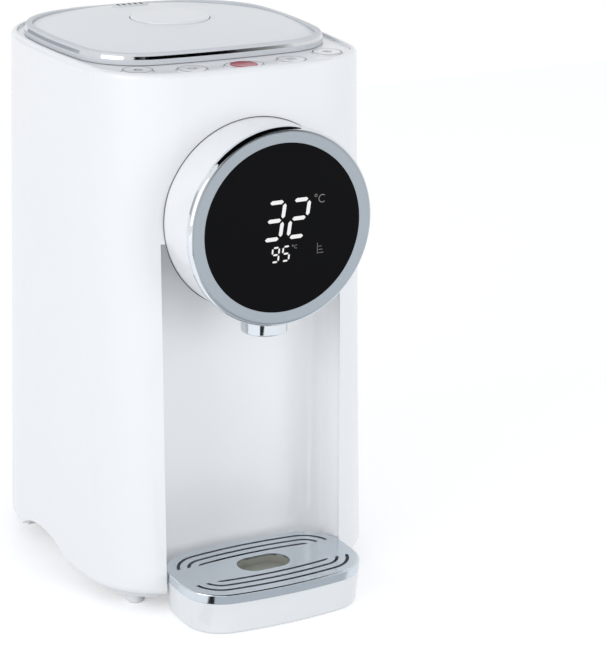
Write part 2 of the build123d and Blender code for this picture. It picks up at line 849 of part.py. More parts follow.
def make_lid_latch():
    bolt = block(
        -latch_width / 2, latch_width / 2, latch_front_y, latch_front_y + latch_length,
        latch_z, latch_z + latch_height,
    )
    nose = bolt.edges().filter_by(Axis.X).group_by(Axis.Y)[0].sort_by(Axis.Z)[0]
    bolt = chamfer(nose, latch_height / 2)
    tab_y = latch_front_y + latch_length
    bolt += block(
        -latch_width / 4, latch_width / 4, tab_y - latch_tab_thick, tab_y,
        latch_z, latch_z + latch_height + latch_tab_height,
    )
    keep("lid_latch", one_solid(bolt))


# Display pod on the housing's front, and the nozzle under it
def pod_ring(outer, inner, y_front, y_rear):
    return pod_disc(outer, y_front, y_rear) - pod_disc(inner, y_front - 1, y_rear + 1)


def make_pod():
    drum = pod_ring(pod_radius, pod_radius - pod_wall, bezel_rear_y, body_front_bow + 2)
    seat = post(nozzle_seat_radius, 0, nozzle_y, pod_z - pod_radius, pod_z - pod_radius + nozzle_seat_height)
    seat &= pod_disc(pod_radius, bezel_rear_y, pod_cover_y - pod_cover_thick - fit_gap)
    drum += seat
    drum -= body_solid(-fit_gap, shell_bottom_z, rim_z)
    drum -= post(spout_radius + running_gap, 0, nozzle_y, collar_bottom_z, pod_z)
    keep("pod_drum", one_solid(drum))
    cover = pod_disc(pod_radius - pod_wall - fit_gap, pod_cover_y - pod_cover_thick, pod_cover_y)
    cover += pod_disc(neck_radius, pod_cover_y - 1, pod_cover_y + neck_length, neck_z)
    cover -= pod_disc(neck_radius - neck_wall, -bay_depth, bay_depth, neck_z)
    keep("pod_back_cover", one_solid(cover))
    wall_inside_y = shell_wall - spread(neck_z) + fit_gap
    lock = pod_disc(neck_radius + lock_ring_width, wall_inside_y, wall_inside_y + lock_ring_thick, neck_z)
    lock -= pod_disc(neck_radius + running_gap, -bay_depth, bay_depth, neck_z)
    lock &= body_solid(shell_wall + running_gap, shell_bottom_z, rim_z)
    keep("pod_lock_ring", one_solid(lock))


def make_bezel():
    """The polished ring is a revolved profile: flat face, round shoulder, side, and a spigot into the drum."""
    spigot_radius = pod_radius - pod_wall - running_gap
    seat_y = pod_front_y + glass_gap + glass_thick
    seat_radius = glass_radius - glass_seat
    with_round = bezel_radius - bezel_round
    outline = [
        Line((glass_radius + running_gap, pod_front_y), (with_round, pod_front_y)),
        RadiusArc((with_round, pod_front_y), (bezel_radius, pod_front_y + bezel_round), -bezel_round),
        Polyline(
            (bezel_radius, pod_front_y + bezel_round), (bezel_radius, bezel_rear_y), (spigot_radius, bezel_rear_y),
            (spigot_radius, bezel_rear_y + bezel_spigot), (glass_radius + running_gap, bezel_rear_y + bezel_spigot),
            (glass_radius + running_gap, seat_y + glass_thick), (seat_radius, seat_y + glass_thick),
            (seat_radius, seat_y), (glass_radius + running_gap, seat_y), (glass_radius + running_gap, pod_front_y),
        ),
    ]
    profile = make_face(outline)
    bezel = Pos(0, 0, pod_z) * revolve(profile, axis=Axis.Y)
    keep("pod_bezel", one_solid(bezel))
    glass = pod_disc(glass_radius, pod_front_y + glass_gap, seat_y)
    keep("pod_glass", chamfer(glass.edges().group_by(Axis.Y)[0], glass_gap))
    board_y = seat_y + glass_thick + glass_gap
    board = pod_disc(glass_radius - glass_gap, board_y, board_y + display_board_thick)
    keep("display_board", board)
    half_width, half_height = display_module_width / 2, display_module_height / 2
    module = block(
        -half_width, half_width, seat_y + display_glass_gap, board_y, pod_z - half_height, pod_z + half_height
    )
    keep("display_module", module)


def make_nozzle():
    collar = post(collar_radius, 0, nozzle_y, collar_bottom_z, pod_z - pod_radius + nozzle_seat_height)
    collar = fillet(collar.edges().group_by(Axis.Z)[0], collar_edge_round)
    collar -= pod_disc(pod_radius + 0.05, nozzle_y - 2 * collar_radius, nozzle_y + 2 * collar_radius)
    collar -= post(collar_radius - collar_wall, 0, nozzle_y, collar_bottom_z - 1, collar_bottom_z + collar_recess)
    collar -= post(spout_radius + running_gap, 0, nozzle_y, collar_bottom_z - 1, pod_z)
    keep("nozzle_collar", one_solid(collar))
    seat_top_z = pod_z - pod_radius + nozzle_seat_height
    spout = post(spout_radius, 0, nozzle_y, collar_bottom_z + spout_rise, seat_top_z + 1)
    spout += post(spout_flange_radius, 0, nozzle_y, seat_top_z + 0.1, seat_top_z + spout_flange_thick)
    spout += post(barb_radius, 0, nozzle_y, seat_top_z + 1, seat_top_z + spout_flange_thick + barb_length)
    spout -= post(spout_bore, 0, nozzle_y, collar_bottom_z, pod_z)
    keep("nozzle_spout", one_solid(spout))


# Drip tray, its slotted cover and the drain cup in the middle
def tray_band(inset, z_low, z_high):
    """A slot's width of the tray's own outline, moved inwards."""
    half = slot_width / 2
    return prism(grown(tray_plan, -inset + half), z_low, z_high) - prism(
        grown(tray_plan, -inset - half), z_low - 1, z_high + 1
    )


def make_drip_tray():
    skirt_in = tray_skirt + fit_gap
    bowl_top_z = tray_rim_z - fit_gap
    bowl = hanging_prism(grown(tray_plan, -fit_gap), 0, bowl_top_z, tray_draft)
    bowl = fillet(bowl.edges().group_by(Axis.Z)[0], tray_foot_round)
    bowl += prism(grown(tray_plan, -skirt_in), tray_rim_z - 1, tray_lip_top_z)
    low = hanging_prism(grown(tray_plan, -fit_gap - tray_wall), tray_wall, bowl_top_z, tray_draft)
    bowl -= low & prism(grown(tray_plan, -skirt_in - tray_wall), tray_wall, bowl_top_z)
    bowl -= prism(grown(tray_plan, -skirt_in - tray_wall), bowl_top_z - 1, tray_lip_top_z + 1)
    keep("drip_tray", one_solid(bowl))


def drain_plan(growth):
    """Straight front and rear sides between two round ends."""
    return Pos(0, tray_centre_y) * SlotOverall(
        2 * (drain_half_width + growth), 2 * (drain_half_depth + growth)
    )


def make_drip_grid():
    grid = prism(tray_plan, tray_rim_z, tray_top_z)
    grid = fillet(grid.edges().group_by(Axis.Z)[-1], grid_edge_round)
    grid -= prism(grown(tray_plan, -tray_skirt), tray_rim_z - 1, tray_top_z - grid_thick)
    for i in range(3):
        band = tray_band(slot_first_inset + i * slot_pitch, tray_rim_z, tray_top_z + 1)
        band -= block(-tray_half_width, tray_half_width, tray_centre_y - slot_start, tray_centre_y + slot_start,
                      0, rim_z)
        grid -= band
    grid -= prism(drain_plan(0), tray_rim_z, tray_top_z + 1)
    keep("drip_grid", one_solid(grid))
    cup_top_z = tray_top_z - grid_thick - running_gap
    cup = prism(drain_plan(drain_cup_wall), cup_top_z - drain_cup_depth, cup_top_z)
    cup -= prism(drain_plan(0), cup_top_z - drain_cup_depth + drain_cup_wall, cup_top_z + 1)
    for i in (-1, 0, 1):
        cup -= post(drain_hole_radius, i * drain_hole_pitch, tray_centre_y, 0, cup_top_z)
    keep("drain_cup", one_solid(cup))


# Tank with its gasket, cradle and heaters
def outlet_place():
    return pump_x, pump_y


def make_tank():
    outer, inner = tank_radius, tank_radius - tank_wall
    neck, flange = tank_neck_radius, tank_neck_radius + tank_flange_width
    wall = Polyline(
        (0, tank_bottom_z), (outer, tank_bottom_z), (outer, tank_shoulder_z), (neck, tank_neck_z),
        (neck, tank_top_z - tank_wall), (flange, tank_top_z - tank_wall), (flange, tank_top_z),
        (neck - tank_wall, tank_top_z), (neck - tank_wall, tank_neck_z), (inner, tank_shoulder_z),
        (inner, tank_bottom_z + tank_wall), (0, tank_bottom_z + tank_wall), (0, tank_bottom_z),
    )
    profile = make_face(Plane.XZ * wall)
    tank = revolve(profile, axis=Axis.Z)
    low = [e for e in tank.edges().filter_by(GeomType.CIRCLE) if abs(e.center().Z - tank_bottom_z) < 0.01]
    tank = fillet(low, tank_bottom_round)
    tank = fillet(
        [e for e in tank.edges().filter_by(GeomType.CIRCLE)
         if abs(e.center().Z - tank_bottom_z - tank_wall) < 0.01 and abs(e.radius - inner) < 0.01],
        tank_bottom_round - tank_wall,
    )
    tank = Pos(0, tank_y) * tank
    x, y = outlet_place()
    tank += post(outlet_radius, x, y, tank_bottom_z - outlet_length, tank_bottom_z + 0.5)
    tank -= post(outlet_bore, x, y, tank_bottom_z - outlet_length - 1, tank_bottom_z + 2 * tank_wall)
    keep("tank", one_solid(tank))
    gasket = tube(flange, neck - tank_wall + 0.2, 0, tank_y, tank_top_z, deck_bottom_z)
    keep("tank_gasket", gasket)


def make_cradle():
    top_z = tank_bottom_z - running_gap
    ring = tube(cradle_radius + cradle_width / 2, cradle_radius - cradle_width / 2, 0, tank_y,
                top_z - cradle_thick, top_z)
    for angle in (20, 160, 270):
        x = cradle_radius * cos(radians(angle))
        y = tank_y + cradle_radius * sin(radians(angle))
        ring += post(cradle_post_radius, x, y, base_z + base_thick + running_gap, top_z - 1)
    keep("tank_cradle", one_solid(ring))


def make_heaters():
    plate_top_z = tank_bottom_z - running_gap
    plate_z = plate_top_z - plate_thick
    keep("heater_plate", post(plate_radius, 0, tank_y, plate_z, plate_top_z))
    coil_z = plate_z - coil_wire_radius - running_gap
    wire = Plane.XZ * Pos(coil_radius, coil_z) * Circle(coil_wire_radius)
    coil = Pos(0, tank_y) * Rot(0, 0, -90 + coil_open_angle / 2) * revolve(
        wire, axis=Axis.Z, revolution_arc=360 - coil_open_angle
    )
    for side in (-1, 1):
        angle = radians(-90 + side * coil_open_angle / 2)
        x, y = coil_radius * cos(angle), tank_y + coil_radius * sin(angle)
        coil += Pos(x, y, coil_z) * Sphere(coil_wire_radius)
        coil += post(coil_wire_radius / 2, x, y, coil_z - coil_lead_length, coil_z)
    keep("heater_coil", one_solid(coil))
    thermostats = [
        post(thermostat_radius, 0, tank_y + side * thermostat_offset,
             plate_z - running_gap - thermostat_height, plate_z - running_gap)
        for side in (-1, 1)
    ]
    keep("thermostats", Compound(children=thermostats))
    inner = tank_radius + fit_gap
    keep("warming_band", tube(inner + band_thick, inner, 0, tank_y, band_bottom_z, band_bottom_z + band_height))
    sensor = Pos(0, tank_y + tank_radius + fit_gap + sensor_length / 2, sensor_z) * Rot(90, 0, 0) * Cylinder(
        sensor_radius, sensor_length
    )
    sensor -= post(tank_radius + running_gap, 0, tank_y, 0, rim_z)
    keep("tank_sensor", one_solid(sensor))


# Pump under the tank, and the hoses
def make_pump():
    top_z = pump_bottom_z + pump_height
    housing = post(pump_radius, pump_x, pump_y, pump_bottom_z, top_z)
    wall_y = pump_y - sqrt(pump_radius**2 - port_offset**2)
    port_end_y = wall_y - port_length
    housing += y_rod(port_radius, riser_x, port_z, port_end_y, pump_y)
    housing += post(port_radius, pump_x, pump_y, top_z - 1, top_z + port_length / 2)
    housing -= post(pump_radius - pump_wall, pump_x, pump_y, pump_bottom_z + pump_wall, top_z - pump_wall)
    housing -= y_rod(port_bore, riser_x, port_z, port_end_y - 1, pump_y)
    housing -= post(port_bore, pump_x, pump_y, top_z - pump_wall - 1, rim_z)
    housing -= post(shaft_radius + shaft_gap, pump_x, pump_y, 0, pump_bottom_z + pump_wall + 1)
    keep("pump_housing", one_solid(housing))
    low = pump_bottom_z + pump_wall + impeller_gap
    wheel = post(impeller_radius, pump_x, pump_y, low, low + impeller_disc)
    for i in range(vane_count):
        vane = block(shaft_radius * 2, impeller_radius - 1, -vane_thick / 2, vane_thick / 2,
                     low + impeller_disc - 0.5, low + impeller_disc + vane_height)
        wheel += Pos(pump_x, pump_y) * Rot(0, 0, i * 360 / vane_count) * vane
    wheel += post(shaft_radius * 2 + 0.5, pump_x, pump_y, low, low + impeller_disc + vane_height)
    motor_low = base_z + base_thick + running_gap
    wheel += post(shaft_radius, pump_x, pump_y, motor_low + 4, low + 1)
    keep("pump_impeller", one_solid(wheel))
    motor = post(motor_radius, pump_x, pump_y, motor_low, pump_bottom_z - 0.05)
    motor = fillet(motor.edges().group_by(Axis.Z)[0], motor_foot)
    motor -= post(shaft_radius + shaft_gap, pump_x, pump_y, motor_low + 4 - impeller_gap, pump_bottom_z + 1)
    keep("pump_motor", one_solid(motor))
    hose = tube(hose_radius, hose_bore, pump_x, pump_y, top_z + 0.1, tank_bottom_z - outlet_length - 0.1)
    keep("suction_hose", hose)


def y_rod(radius, x, z, y_low, y_high):
    return Pos(x, (y_low + y_high) / 2, z) * Rot(90, 0, 0) * Cylinder(radius, y_high - y_low)


def make_riser_hose():
    start_y = pump_y - pump_radius - running_gap
    end_z = pod_z - pod_radius + nozzle_seat_height + spout_flange_thick + 0.2
    route = [
        (riser_x, start_y, port_z),
        (riser_x, riser_y, port_z),
        (riser_x, riser_y, neck_z),
        (riser_turn_x, riser_turn_y, neck_z),
        (0, nozzle_y, neck_z),
        (0, nozzle_y, end_z),
    ]
    path = FilletPolyline(*route, radius=hose_bend)
    start = Plane(origin=route[0], z_dir=Vector(*route[1]) - Vector(*route[0]))
    ring = start * (Circle(hose_radius) - Circle(hose_bore))
    keep("riser_hose", sweep(ring, path=path))


# Power inlet in the rear wall, and the power board on the base
def make_inlet():
    wall_y = body_depth + spread(inlet_z)
    back_y = wall_y - inlet_depth
    cup = inlet_prism(0, back_y, wall_y + 5)
    cup += inlet_prism(inlet_flange, wall_y - shell_wall - fit_gap - inlet_flange_thick - 1, wall_y) & body_solid(
        shell_wall + fit_gap, shell_bottom_z, rim_z
    )
    cup &= body_solid(0, shell_bottom_z, rim_z)
    cup -= inlet_prism(-inlet_wall, back_y + inlet_wall, wall_y + 5)
    pin_places = [(-inlet_pin_spacing, 0), (inlet_pin_spacing, 0), (0, inlet_pin_drop)]
    pins = []
    for x, up in pin_places:
        cup -= y_rod(inlet_pin_radius, x, inlet_z + up, back_y - 1, back_y + inlet_wall + 1)
        pins.append(y_rod(inlet_pin_radius, x, inlet_z + up, back_y, back_y + inlet_wall + inlet_pin_length))
    keep("power_inlet", one_solid(cup))
    keep("inlet_pins", Compound(children=pins))


def make_power_board():
    x_half, y_half = power_board_width / 2, power_board_depth / 2
    top_z = power_board_z + switch_board_thick
    board = block(-x_half, x_half, power_board_y - y_half, power_board_y + y_half, power_board_z, top_z)
    board += block(-x_half + transformer_edge, -x_half + transformer_edge + transformer_size,
                   power_board_y - transformer_size / 2, power_board_y + transformer_size / 2,
                   top_z - 0.5, top_z + transformer_size)
    board += block(0, relay_width, power_board_y - relay_width / 2, power_board_y + relay_width / 2,
                   top_z - 0.5, top_z + relay_width)
    for i in range(2):
        board += post(capacitor_radius, x_half - capacitor_edge - i * capacitor_pitch, power_board_y,
                      top_z - 0.5, top_z + capacitor_height)
    for x in (-x_half + standoff_edge, x_half - standoff_edge):
        board += post(board_standoff_radius, x, power_board_y - y_half + standoff_edge,
                      base_z + base_thick + running_gap, top_z)
    keep("power_board", one_solid(board))


def build():
    make_housing_shell()
    make_bay_panel()
    make_base()
    make_feet()
    make_base_screws()
    make_deck()
    make_keys()
    make_switch_board()
    make_lid_ring()
    make_lid_cover()
    make_steam_vent()
    make_lid_base()
    make_lid_lever()
    make_lid_latch()
    make_pod()
    make_bezel()
    make_nozzle()
    make_drip_tray()
    make_drip_grid()
    make_tank()
    make_cradle()
    make_heaters()
    make_pump()
    make_riser_hose()
    make_inlet()
    make_power_board()


def export():
    """Moves every piece to the shared origin and writes one file for each."""
    os.makedirs("parts", exist_ok=True)
    for name, shape in nodes.items():
        export_step(Pos(0, -origin_y, 0) * shape, f"parts/{name}.step")
    print(len(nodes), "pieces; the origin lies", round(origin_y, 3), "behind the front of the rim")
    print("overall depth", round(overall_depth, 2), "height", round(lever_top_z, 2))


build()
export()
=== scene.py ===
# %% [markdown]
# # An electric hot water pot, dressed for its photograph
# The solid model arrives finished: its shell, lid, keys, display pod, nozzle, tray and all the inner pieces
# lie in one shared frame, in metres. This notebook gives each of them the surface that the real one has,
# and adds the thin things that don't need a solid, such as lit digits and printed marks. It could all be
# painted by hand, but node materials measured in millimetres stay right from every side and at any size of
# picture.

import math

import bmesh
import bpy
from mathutils import Matrix, Vector


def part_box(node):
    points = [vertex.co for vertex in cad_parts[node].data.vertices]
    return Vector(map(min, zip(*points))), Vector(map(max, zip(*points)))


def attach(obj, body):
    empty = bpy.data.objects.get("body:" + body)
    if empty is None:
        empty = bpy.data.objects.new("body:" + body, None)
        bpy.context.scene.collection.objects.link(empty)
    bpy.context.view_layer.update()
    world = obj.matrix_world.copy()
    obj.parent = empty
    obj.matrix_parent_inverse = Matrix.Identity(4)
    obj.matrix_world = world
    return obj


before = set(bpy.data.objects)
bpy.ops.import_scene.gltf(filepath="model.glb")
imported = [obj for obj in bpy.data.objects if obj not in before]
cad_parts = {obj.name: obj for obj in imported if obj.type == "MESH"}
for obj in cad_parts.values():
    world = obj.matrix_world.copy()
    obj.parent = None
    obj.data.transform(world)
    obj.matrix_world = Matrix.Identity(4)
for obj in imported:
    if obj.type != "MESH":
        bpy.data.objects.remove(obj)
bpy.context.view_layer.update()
MM = 0.001

# %% [markdown]
# ## Camera
# The picture was taken from the left front and a little above, with a long lens, so upright edges lean
# together only slightly. The camera's place and turn come from a fit of the pot's rims and rings. Blender's
# lens length follows from the picture's height, because the picture is taller than it is wide.

# %% Put the camera where the photographer stood
PICTURE_HEIGHT_PX = 653
FOCAL_PX = 2329.8
SENSOR_MM = 36.0
CAMERA_MM = (-624.4, -1288.4, 623.8)
YAW_PITCH_ROLL_DEGREES = (28.679, 18.152, -0.737)


def new_object(name, data):
    """An object that holds a mesh, a lamp or a camera, linked to the scene."""
    thing = bpy.data.objects.new(name, data)
    bpy.context.scene.collection.objects.link(thing)
    return thing


camera_data = bpy.data.cameras.new("product_camera")
camera_data.sensor_width = SENSOR_MM
camera_data.lens = FOCAL_PX / PICTURE_HEIGHT_PX * SENSOR_MM
camera = new_object("product_camera", camera_data)

yaw, pitch, roll = (math.radians(degrees) for degrees in YAW_PITCH_ROLL_DEGREES)
forward = Vector((math.sin(yaw) * math.cos(pitch), math.cos(yaw) * math.cos(pitch), -math.sin(pitch)))
level_right = Vector((math.cos(yaw), -math.sin(yaw), 0))
level_up = level_right.cross(forward)
right = math.cos(roll) * level_right - math.sin(roll) * level_up
up = math.sin(roll) * level_right + math.cos(roll) * level_up
facing = Matrix((right, up, -forward)).transposed().to_4x4()
camera.matrix_world = Matrix.Translation(Vector(CAMERA_MM) * MM) @ facing
bpy.context.scene.camera = camera
print("lens", round(camera_data.lens, 1), "mm")

# %% [markdown]
# ## Studio
# A white pot on a white sweep needs shape from slight differences of light, not from strong lamps. The
# world is a plain white tent that lights the pot a little below full white. A large softbox at the left
# makes that side the brightest, and a weaker one at the right front lifts the side that looks away from it.
# The camera, glass and gloss see the tent and the floor brighter than they light the pot, so the background
# stays white.

# %% A helper that adds a node with its settings and links
def add(tree, kind, settings=None, links=None):
    """Adds a node. settings hold its sockets' values and its own choices, and links join its sockets."""
    node = tree.nodes.new("ShaderNode" + kind)
    for name, value in (settings or {}).items():
        if name in ("operation", "data_type"):
            setattr(node, name, value)
        else:
            node.inputs[name].default_value = value
    for name, source in (links or {}).items():
        tree.links.new(source, node.inputs[name])
    return node


def linear(hex_colour):
    """The linear colour for an sRGB hex value, as the renderer wants it."""
    parts = [int(hex_colour[i:i + 2], 16) / 255 for i in (0, 2, 4)]
    return tuple(p / 12.92 if p <= 0.04045 else ((p + 0.055) / 1.055) ** 2.4 for p in parts) + (1.0,)


print("mid grey in linear light:", round(linear("808080")[0], 3))

# %% White tent for the world
TENT_LIGHT = 0.82


def seen_or_mirrored(tree):
    """Is 1 for rays from the camera, through glass and off gloss, and 0 for those that light matt faces."""
    path = add(tree, "LightPath")
    seen = add(tree, "Math", {"operation": "MAXIMUM"},
               {0: path.outputs["Is Camera Ray"], 1: path.outputs["Is Transmission Ray"]})
    either = add(tree, "Math", {"operation": "MAXIMUM"},
                 {0: seen.outputs[0], 1: path.outputs["Is Glossy Ray"]})
    return either.outputs[0]


tent = bpy.data.worlds.new("white_tent")
bpy.context.scene.world = tent
tent.use_nodes = True
tree = tent.node_tree
tree.nodes.clear()
lighting = add(tree, "Background", {"Color": linear("ECEFF3"), "Strength": TENT_LIGHT})
backdrop = add(tree, "Background", {"Color": linear("FFFFFF"), "Strength": 1.0})
mixed = add(tree, "MixShader",
            links={0: seen_or_mirrored(tree), 1: lighting.outputs[0], 2: backdrop.outputs[0]})
add(tree, "OutputWorld", links={"Surface": mixed.outputs[0]})
print("world:", tent.name)

# %% White floor that keeps the shadow
FLOOR_HALF_M = 1.2
FLOOR_GLOW = 0.42
SHEET_CELLS = 8


def new_material(name):
    """An empty material, and the node tree that its shader goes into."""
    stuff = bpy.data.materials.new(name)
    stuff.use_nodes = True
    stuff.node_tree.nodes.clear()
    return stuff, stuff.node_tree


def mesh_of(work, name):
    """Moves the faces that were worked on to a mesh."""
    mesh = bpy.data.meshes.new(name)
    work.to_mesh(mesh)
    work.free()
    return mesh


def flat_sheet(name, half_x, half_y):
    """A flat sheet round the origin, cut in a grid."""
    work = bmesh.new()
    bmesh.ops.create_grid(work, x_segments=SHEET_CELLS, y_segments=SHEET_CELLS, size=1.0)
    bmesh.ops.scale(work, vec=(half_x, half_y, 1), verts=work.verts)
    return new_object(name, mesh_of(work, name))


floor = flat_sheet("studio_floor", FLOOR_HALF_M, FLOOR_HALF_M)
floor_paint, tree = new_material("matt white studio sweep")
lift = add(tree, "Math", {"operation": "MULTIPLY", 1: FLOOR_GLOW}, {0: seen_or_mirrored(tree)})
matt = add(tree, "BsdfDiffuse", {"Color": linear("E4E5E6")})
glow = add(tree, "Emission", {"Color": linear("FFFFFF")}, {"Strength": lift.outputs[0]})
both = add(tree, "AddShader", links={0: matt.outputs[0], 1: glow.outputs[0]})
add(tree, "OutputMaterial", links={"Surface": both.outputs[0]})
floor.data.materials.append(floor_paint)
print("floor:", floor.name)


# %% Softboxes
def softbox(name, place, aim, width, height, watts, mirrored=True):
    """A rectangular lamp that looks from its place towards the aim. Gloss sees it if mirrored is true."""
    lamp = bpy.data.lights.new(name, "AREA")
    lamp.shape = "RECTANGLE"
    lamp.size, lamp.size_y = width, height
    lamp.energy = watts
    holder = new_object(name, lamp)
    holder.location = place
    holder.rotation_euler = (Vector(aim) - Vector(place)).to_track_quat("-Z", "Y").to_euler()
    holder.visible_glossy = mirrored


softbox("softbox_left", place=(-1.7, -0.6, 0.75), aim=(0, 0, 0.18), width=1.2, height=1.3, watts=10.5)
softbox("softbox_right_front", place=(0.7, -1.7, 0.5), aim=(0, 0, 0.15), width=1.0, height=0.9, watts=7.0,
        mirrored=False)
print("softboxes:", [lamp.name for lamp in bpy.data.lights])

# %% [markdown]
# ### Cards
# Chrome shows only what stands round it, and in a white tent that looks like grey paint. So the studio has
# cards for it to mirror, as a photographer would set them: dark ones make a polished edge read as metal,
# and the white ones keep a clean face beside them. The camera doesn't see them and they cast no shadow, so
# they can stand and lie wherever the plated pieces look.

# %% Cards that only gloss can see
UPRIGHT = (90, 0, 0)
LEVEL = (0, 0, 0)
ALONG_TRAY_CORNER = (0, 0, 53)
ALONG_LEFT_FRONT = (0, 0, -66)


def card_paint(name, colour):
    """Matt paper. The camera never sees it, so a plain diffuse shader is all that it needs."""
    paper, tree = new_material(name)
    flock = add(tree, "BsdfDiffuse", {"Color": linear(colour)})
    add(tree, "OutputMaterial", links={"Surface": flock.outputs[0]})
    return paper


def card(name, paper, place, turned, half_x, half_y):
    """Sets one card. Its place and half sizes are in metres, and turned is in degrees round x, y and z."""
    sheet = flat_sheet(name, half_x, half_y)
    sheet.location = place
    sheet.rotation_euler = [math.radians(degrees) for degrees in turned]
    sheet.data.materials.append(paper)
    sheet.visible_camera = sheet.visible_diffuse = sheet.visible_shadow = sheet.visible_transmission = False


black_paper = card_paint("black flock card", "08080A")
pale_paper = card_paint("pale grey card", "C6C9CC")
white_paper = card_paint("off-white card", "DFE2E5")
CARDS = [
    # One hangs over the pot, one stands in front of it and one behind it at the left
    ("card_overhead", black_paper, (0.05, -0.27, 1.25), LEVEL, 0.8, 1.18),
    ("card_front", black_paper, (0.45, -1.45, 0.85), UPRIGHT, 0.75, 0.4),
    ("card_back_left", pale_paper, (-1.0, 1.3, 0.45), UPRIGHT, 0.7, 0.25),
    # The others lie on the table in front of the pot, and where two overlap, one lies a little higher
    ("card_floor", white_paper, (0.07, -0.32, 0.001), LEVEL, 0.105, 0.16),
    ("card_floor_corner", white_paper, (-0.074, -0.267, 0.0014), ALONG_TRAY_CORNER, 0.11, 0.07),
    ("card_stripe", black_paper, (-0.136, -0.22, 0.0018), ALONG_TRAY_CORNER, 0.12, 0.009),
    ("card_floor_left", black_paper, (-0.275, -0.725, 0.001), ALONG_LEFT_FRONT, 0.28, 0.06),
]
for settings in CARDS:
    card(*settings)
print("cards:", len(CARDS))

# %% [markdown]
# ## White plastic
# The shell, lid, keys and tray are injection-moulded ABS. Polished tools leave a glossy skin, and up close
# it waves very slightly, like orange peel, because the melt shrinks as it cools. The same plastic from an
# eroded tool comes out satin. Most of the moulded pieces inside are polypropylene, which is greyer and more
# matt. One recipe makes them all: fine noise for the skin, and a wide, faint noise that makes the colour
# and the gloss a little uneven, so that a large white face doesn't look like paper.

# %% Moulded plastic
PATCH_MM = 90
COLOUR_SPREAD = 0.012
GLOSS_SPREAD = 0.12
# How far apart the waves or grains of a skin lie and how deep they are, in millimetres
POLISHED_TOOL = (2.6, 0.006)
BUFFED_TOOL = (2.6, 0.005)
SEMI_GLOSS_TOOL = (1.6, 0.006)
ERODED_TOOL = (0.7, 0.012)
GRAINED_TOOL = (0.9, 0.012)


def per_mm(millimetres):
    """Texture scale that repeats once in so many millimetres, on coordinates in metres."""
    return 1000.0 / millimetres


def moulded(name, colour, roughness, tool, coat=0.0):
    """Moulded plastic with the skin that its tool gives it. coat is the weight of a clear gloss on top."""
    peel_mm, depth_mm = tool
    stuff, tree = new_material(name)
    place = add(tree, "TexCoord")
    skin = add(tree, "TexNoise", {"Scale": per_mm(peel_mm), "Detail": 2.0, "Roughness": 0.45},
               {"Vector": place.outputs["Object"]})
    wide = add(tree, "TexNoise", {"Scale": per_mm(PATCH_MM), "Detail": 2.0},
               {"Vector": place.outputs["Object"]})
    value = add(tree, "MapRange", {"To Min": 1 - COLOUR_SPREAD, "To Max": 1 + COLOUR_SPREAD},
                {"Value": wide.outputs["Fac"]})
    shade = add(tree, "HueSaturation", {"Color": linear(colour)}, {"Value": value.outputs["Result"]})
    dull = add(tree, "MapRange",
               {"To Min": roughness * (1 - GLOSS_SPREAD), "To Max": roughness * (1 + GLOSS_SPREAD)},
               {"Value": wide.outputs["Fac"]})
    wave = add(tree, "Bump", {"Strength": 1.0, "Distance": depth_mm * MM}, {"Height": skin.outputs["Fac"]})
    body = add(tree, "BsdfPrincipled", {"IOR": 1.53, "Coat Weight": coat, "Coat Roughness": 0.06},
               {"Base Color": shade.outputs["Color"], "Roughness": dull.outputs["Result"],
                "Normal": wave.outputs["Normal"]})
    add(tree, "OutputMaterial", links={"Surface": body.outputs["BSDF"]})
    return stuff


glossy_abs = moulded("glossy white ABS, moulded in a polished tool", "F3F4F6", 0.24, POLISHED_TOOL, coat=0.2)
lid_abs = moulded("semi-gloss white ABS of the lid", "EAEDF0", 0.34, SEMI_GLOSS_TOOL, coat=0.08)
# painted light: the bay is whiter than the shell to make up for the shade in its hollow
bay_abs_painted_light = moulded("high-gloss white ABS of the bay, whitened as painted light", "FBFCFD", 0.2, BUFFED_TOOL, coat=0.3)
tray_abs = moulded("glossy white ABS of the tray", "ECEEF0", 0.24, POLISHED_TOOL, coat=0.2)
lever_abs = moulded("semi-gloss white ABS of the lever", "ECEEF1", 0.3, SEMI_GLOSS_TOOL, coat=0.1)
satin_abs = moulded("satin white ABS from an eroded tool", "E6E8E9", 0.48, ERODED_TOOL)
grey_pp = moulded("natural grey polypropylene, moulded", "C9CBCB", 0.45, GRAINED_TOOL)
dark_pp = moulded("grey-beige polypropylene, moulded", "97988F", 0.5, GRAINED_TOOL)
print("plastics:", glossy_abs.name, "/", satin_abs.name)

# %% [markdown]
# ## Bright metal
# The nozzle's collar and the tray's cover are chrome-plated ABS: a mirror with a hint of blue grey, a
# little soft where fingers have touched it. A wide, shallow ripple bends what it mirrors, because the
# plastic under the plating is never as flat as glass.

# %% Chrome plating
TOUCH_MM = 14
RIPPLE_MM = 9
RIPPLE_DEPTH_MM = 0.01


def chrome(name, colour, roughness, smudge):
    """Polished plating, rougher by up to smudge where it is touched."""
    stuff, tree = new_material(name)
    place = add(tree, "TexCoord")
    touch = add(tree, "TexNoise", {"Scale": per_mm(TOUCH_MM), "Detail": 4.0, "Roughness": 0.6},
                {"Vector": place.outputs["Object"]})
    dull = add(tree, "MapRange", {"To Min": roughness, "To Max": roughness + smudge},
               {"Value": touch.outputs["Fac"]})
    ripple = add(tree, "TexNoise", {"Scale": per_mm(RIPPLE_MM), "Detail": 1.0},
                 {"Vector": place.outputs["Object"]})
    wave = add(tree, "Bump", {"Strength": 1.0, "Distance": RIPPLE_DEPTH_MM * MM},
               {"Height": ripple.outputs["Fac"]})
    body = add(tree, "BsdfPrincipled", {"Base Color": linear(colour), "Metallic": 1.0},
               {"Roughness": dull.outputs["Result"], "Normal": wave.outputs["Normal"]})
    add(tree, "OutputMaterial", links={"Surface": body.outputs["BSDF"]})
    return stuff


grid_chrome = chrome("chrome plating of the slotted cover", "CFD6DC", 0.1, 0.08)
collar_chrome = chrome("chrome plating of the nozzle's collar", "D8DCE1", 0.05, 0.05)
print("plating:", grid_chrome.name)
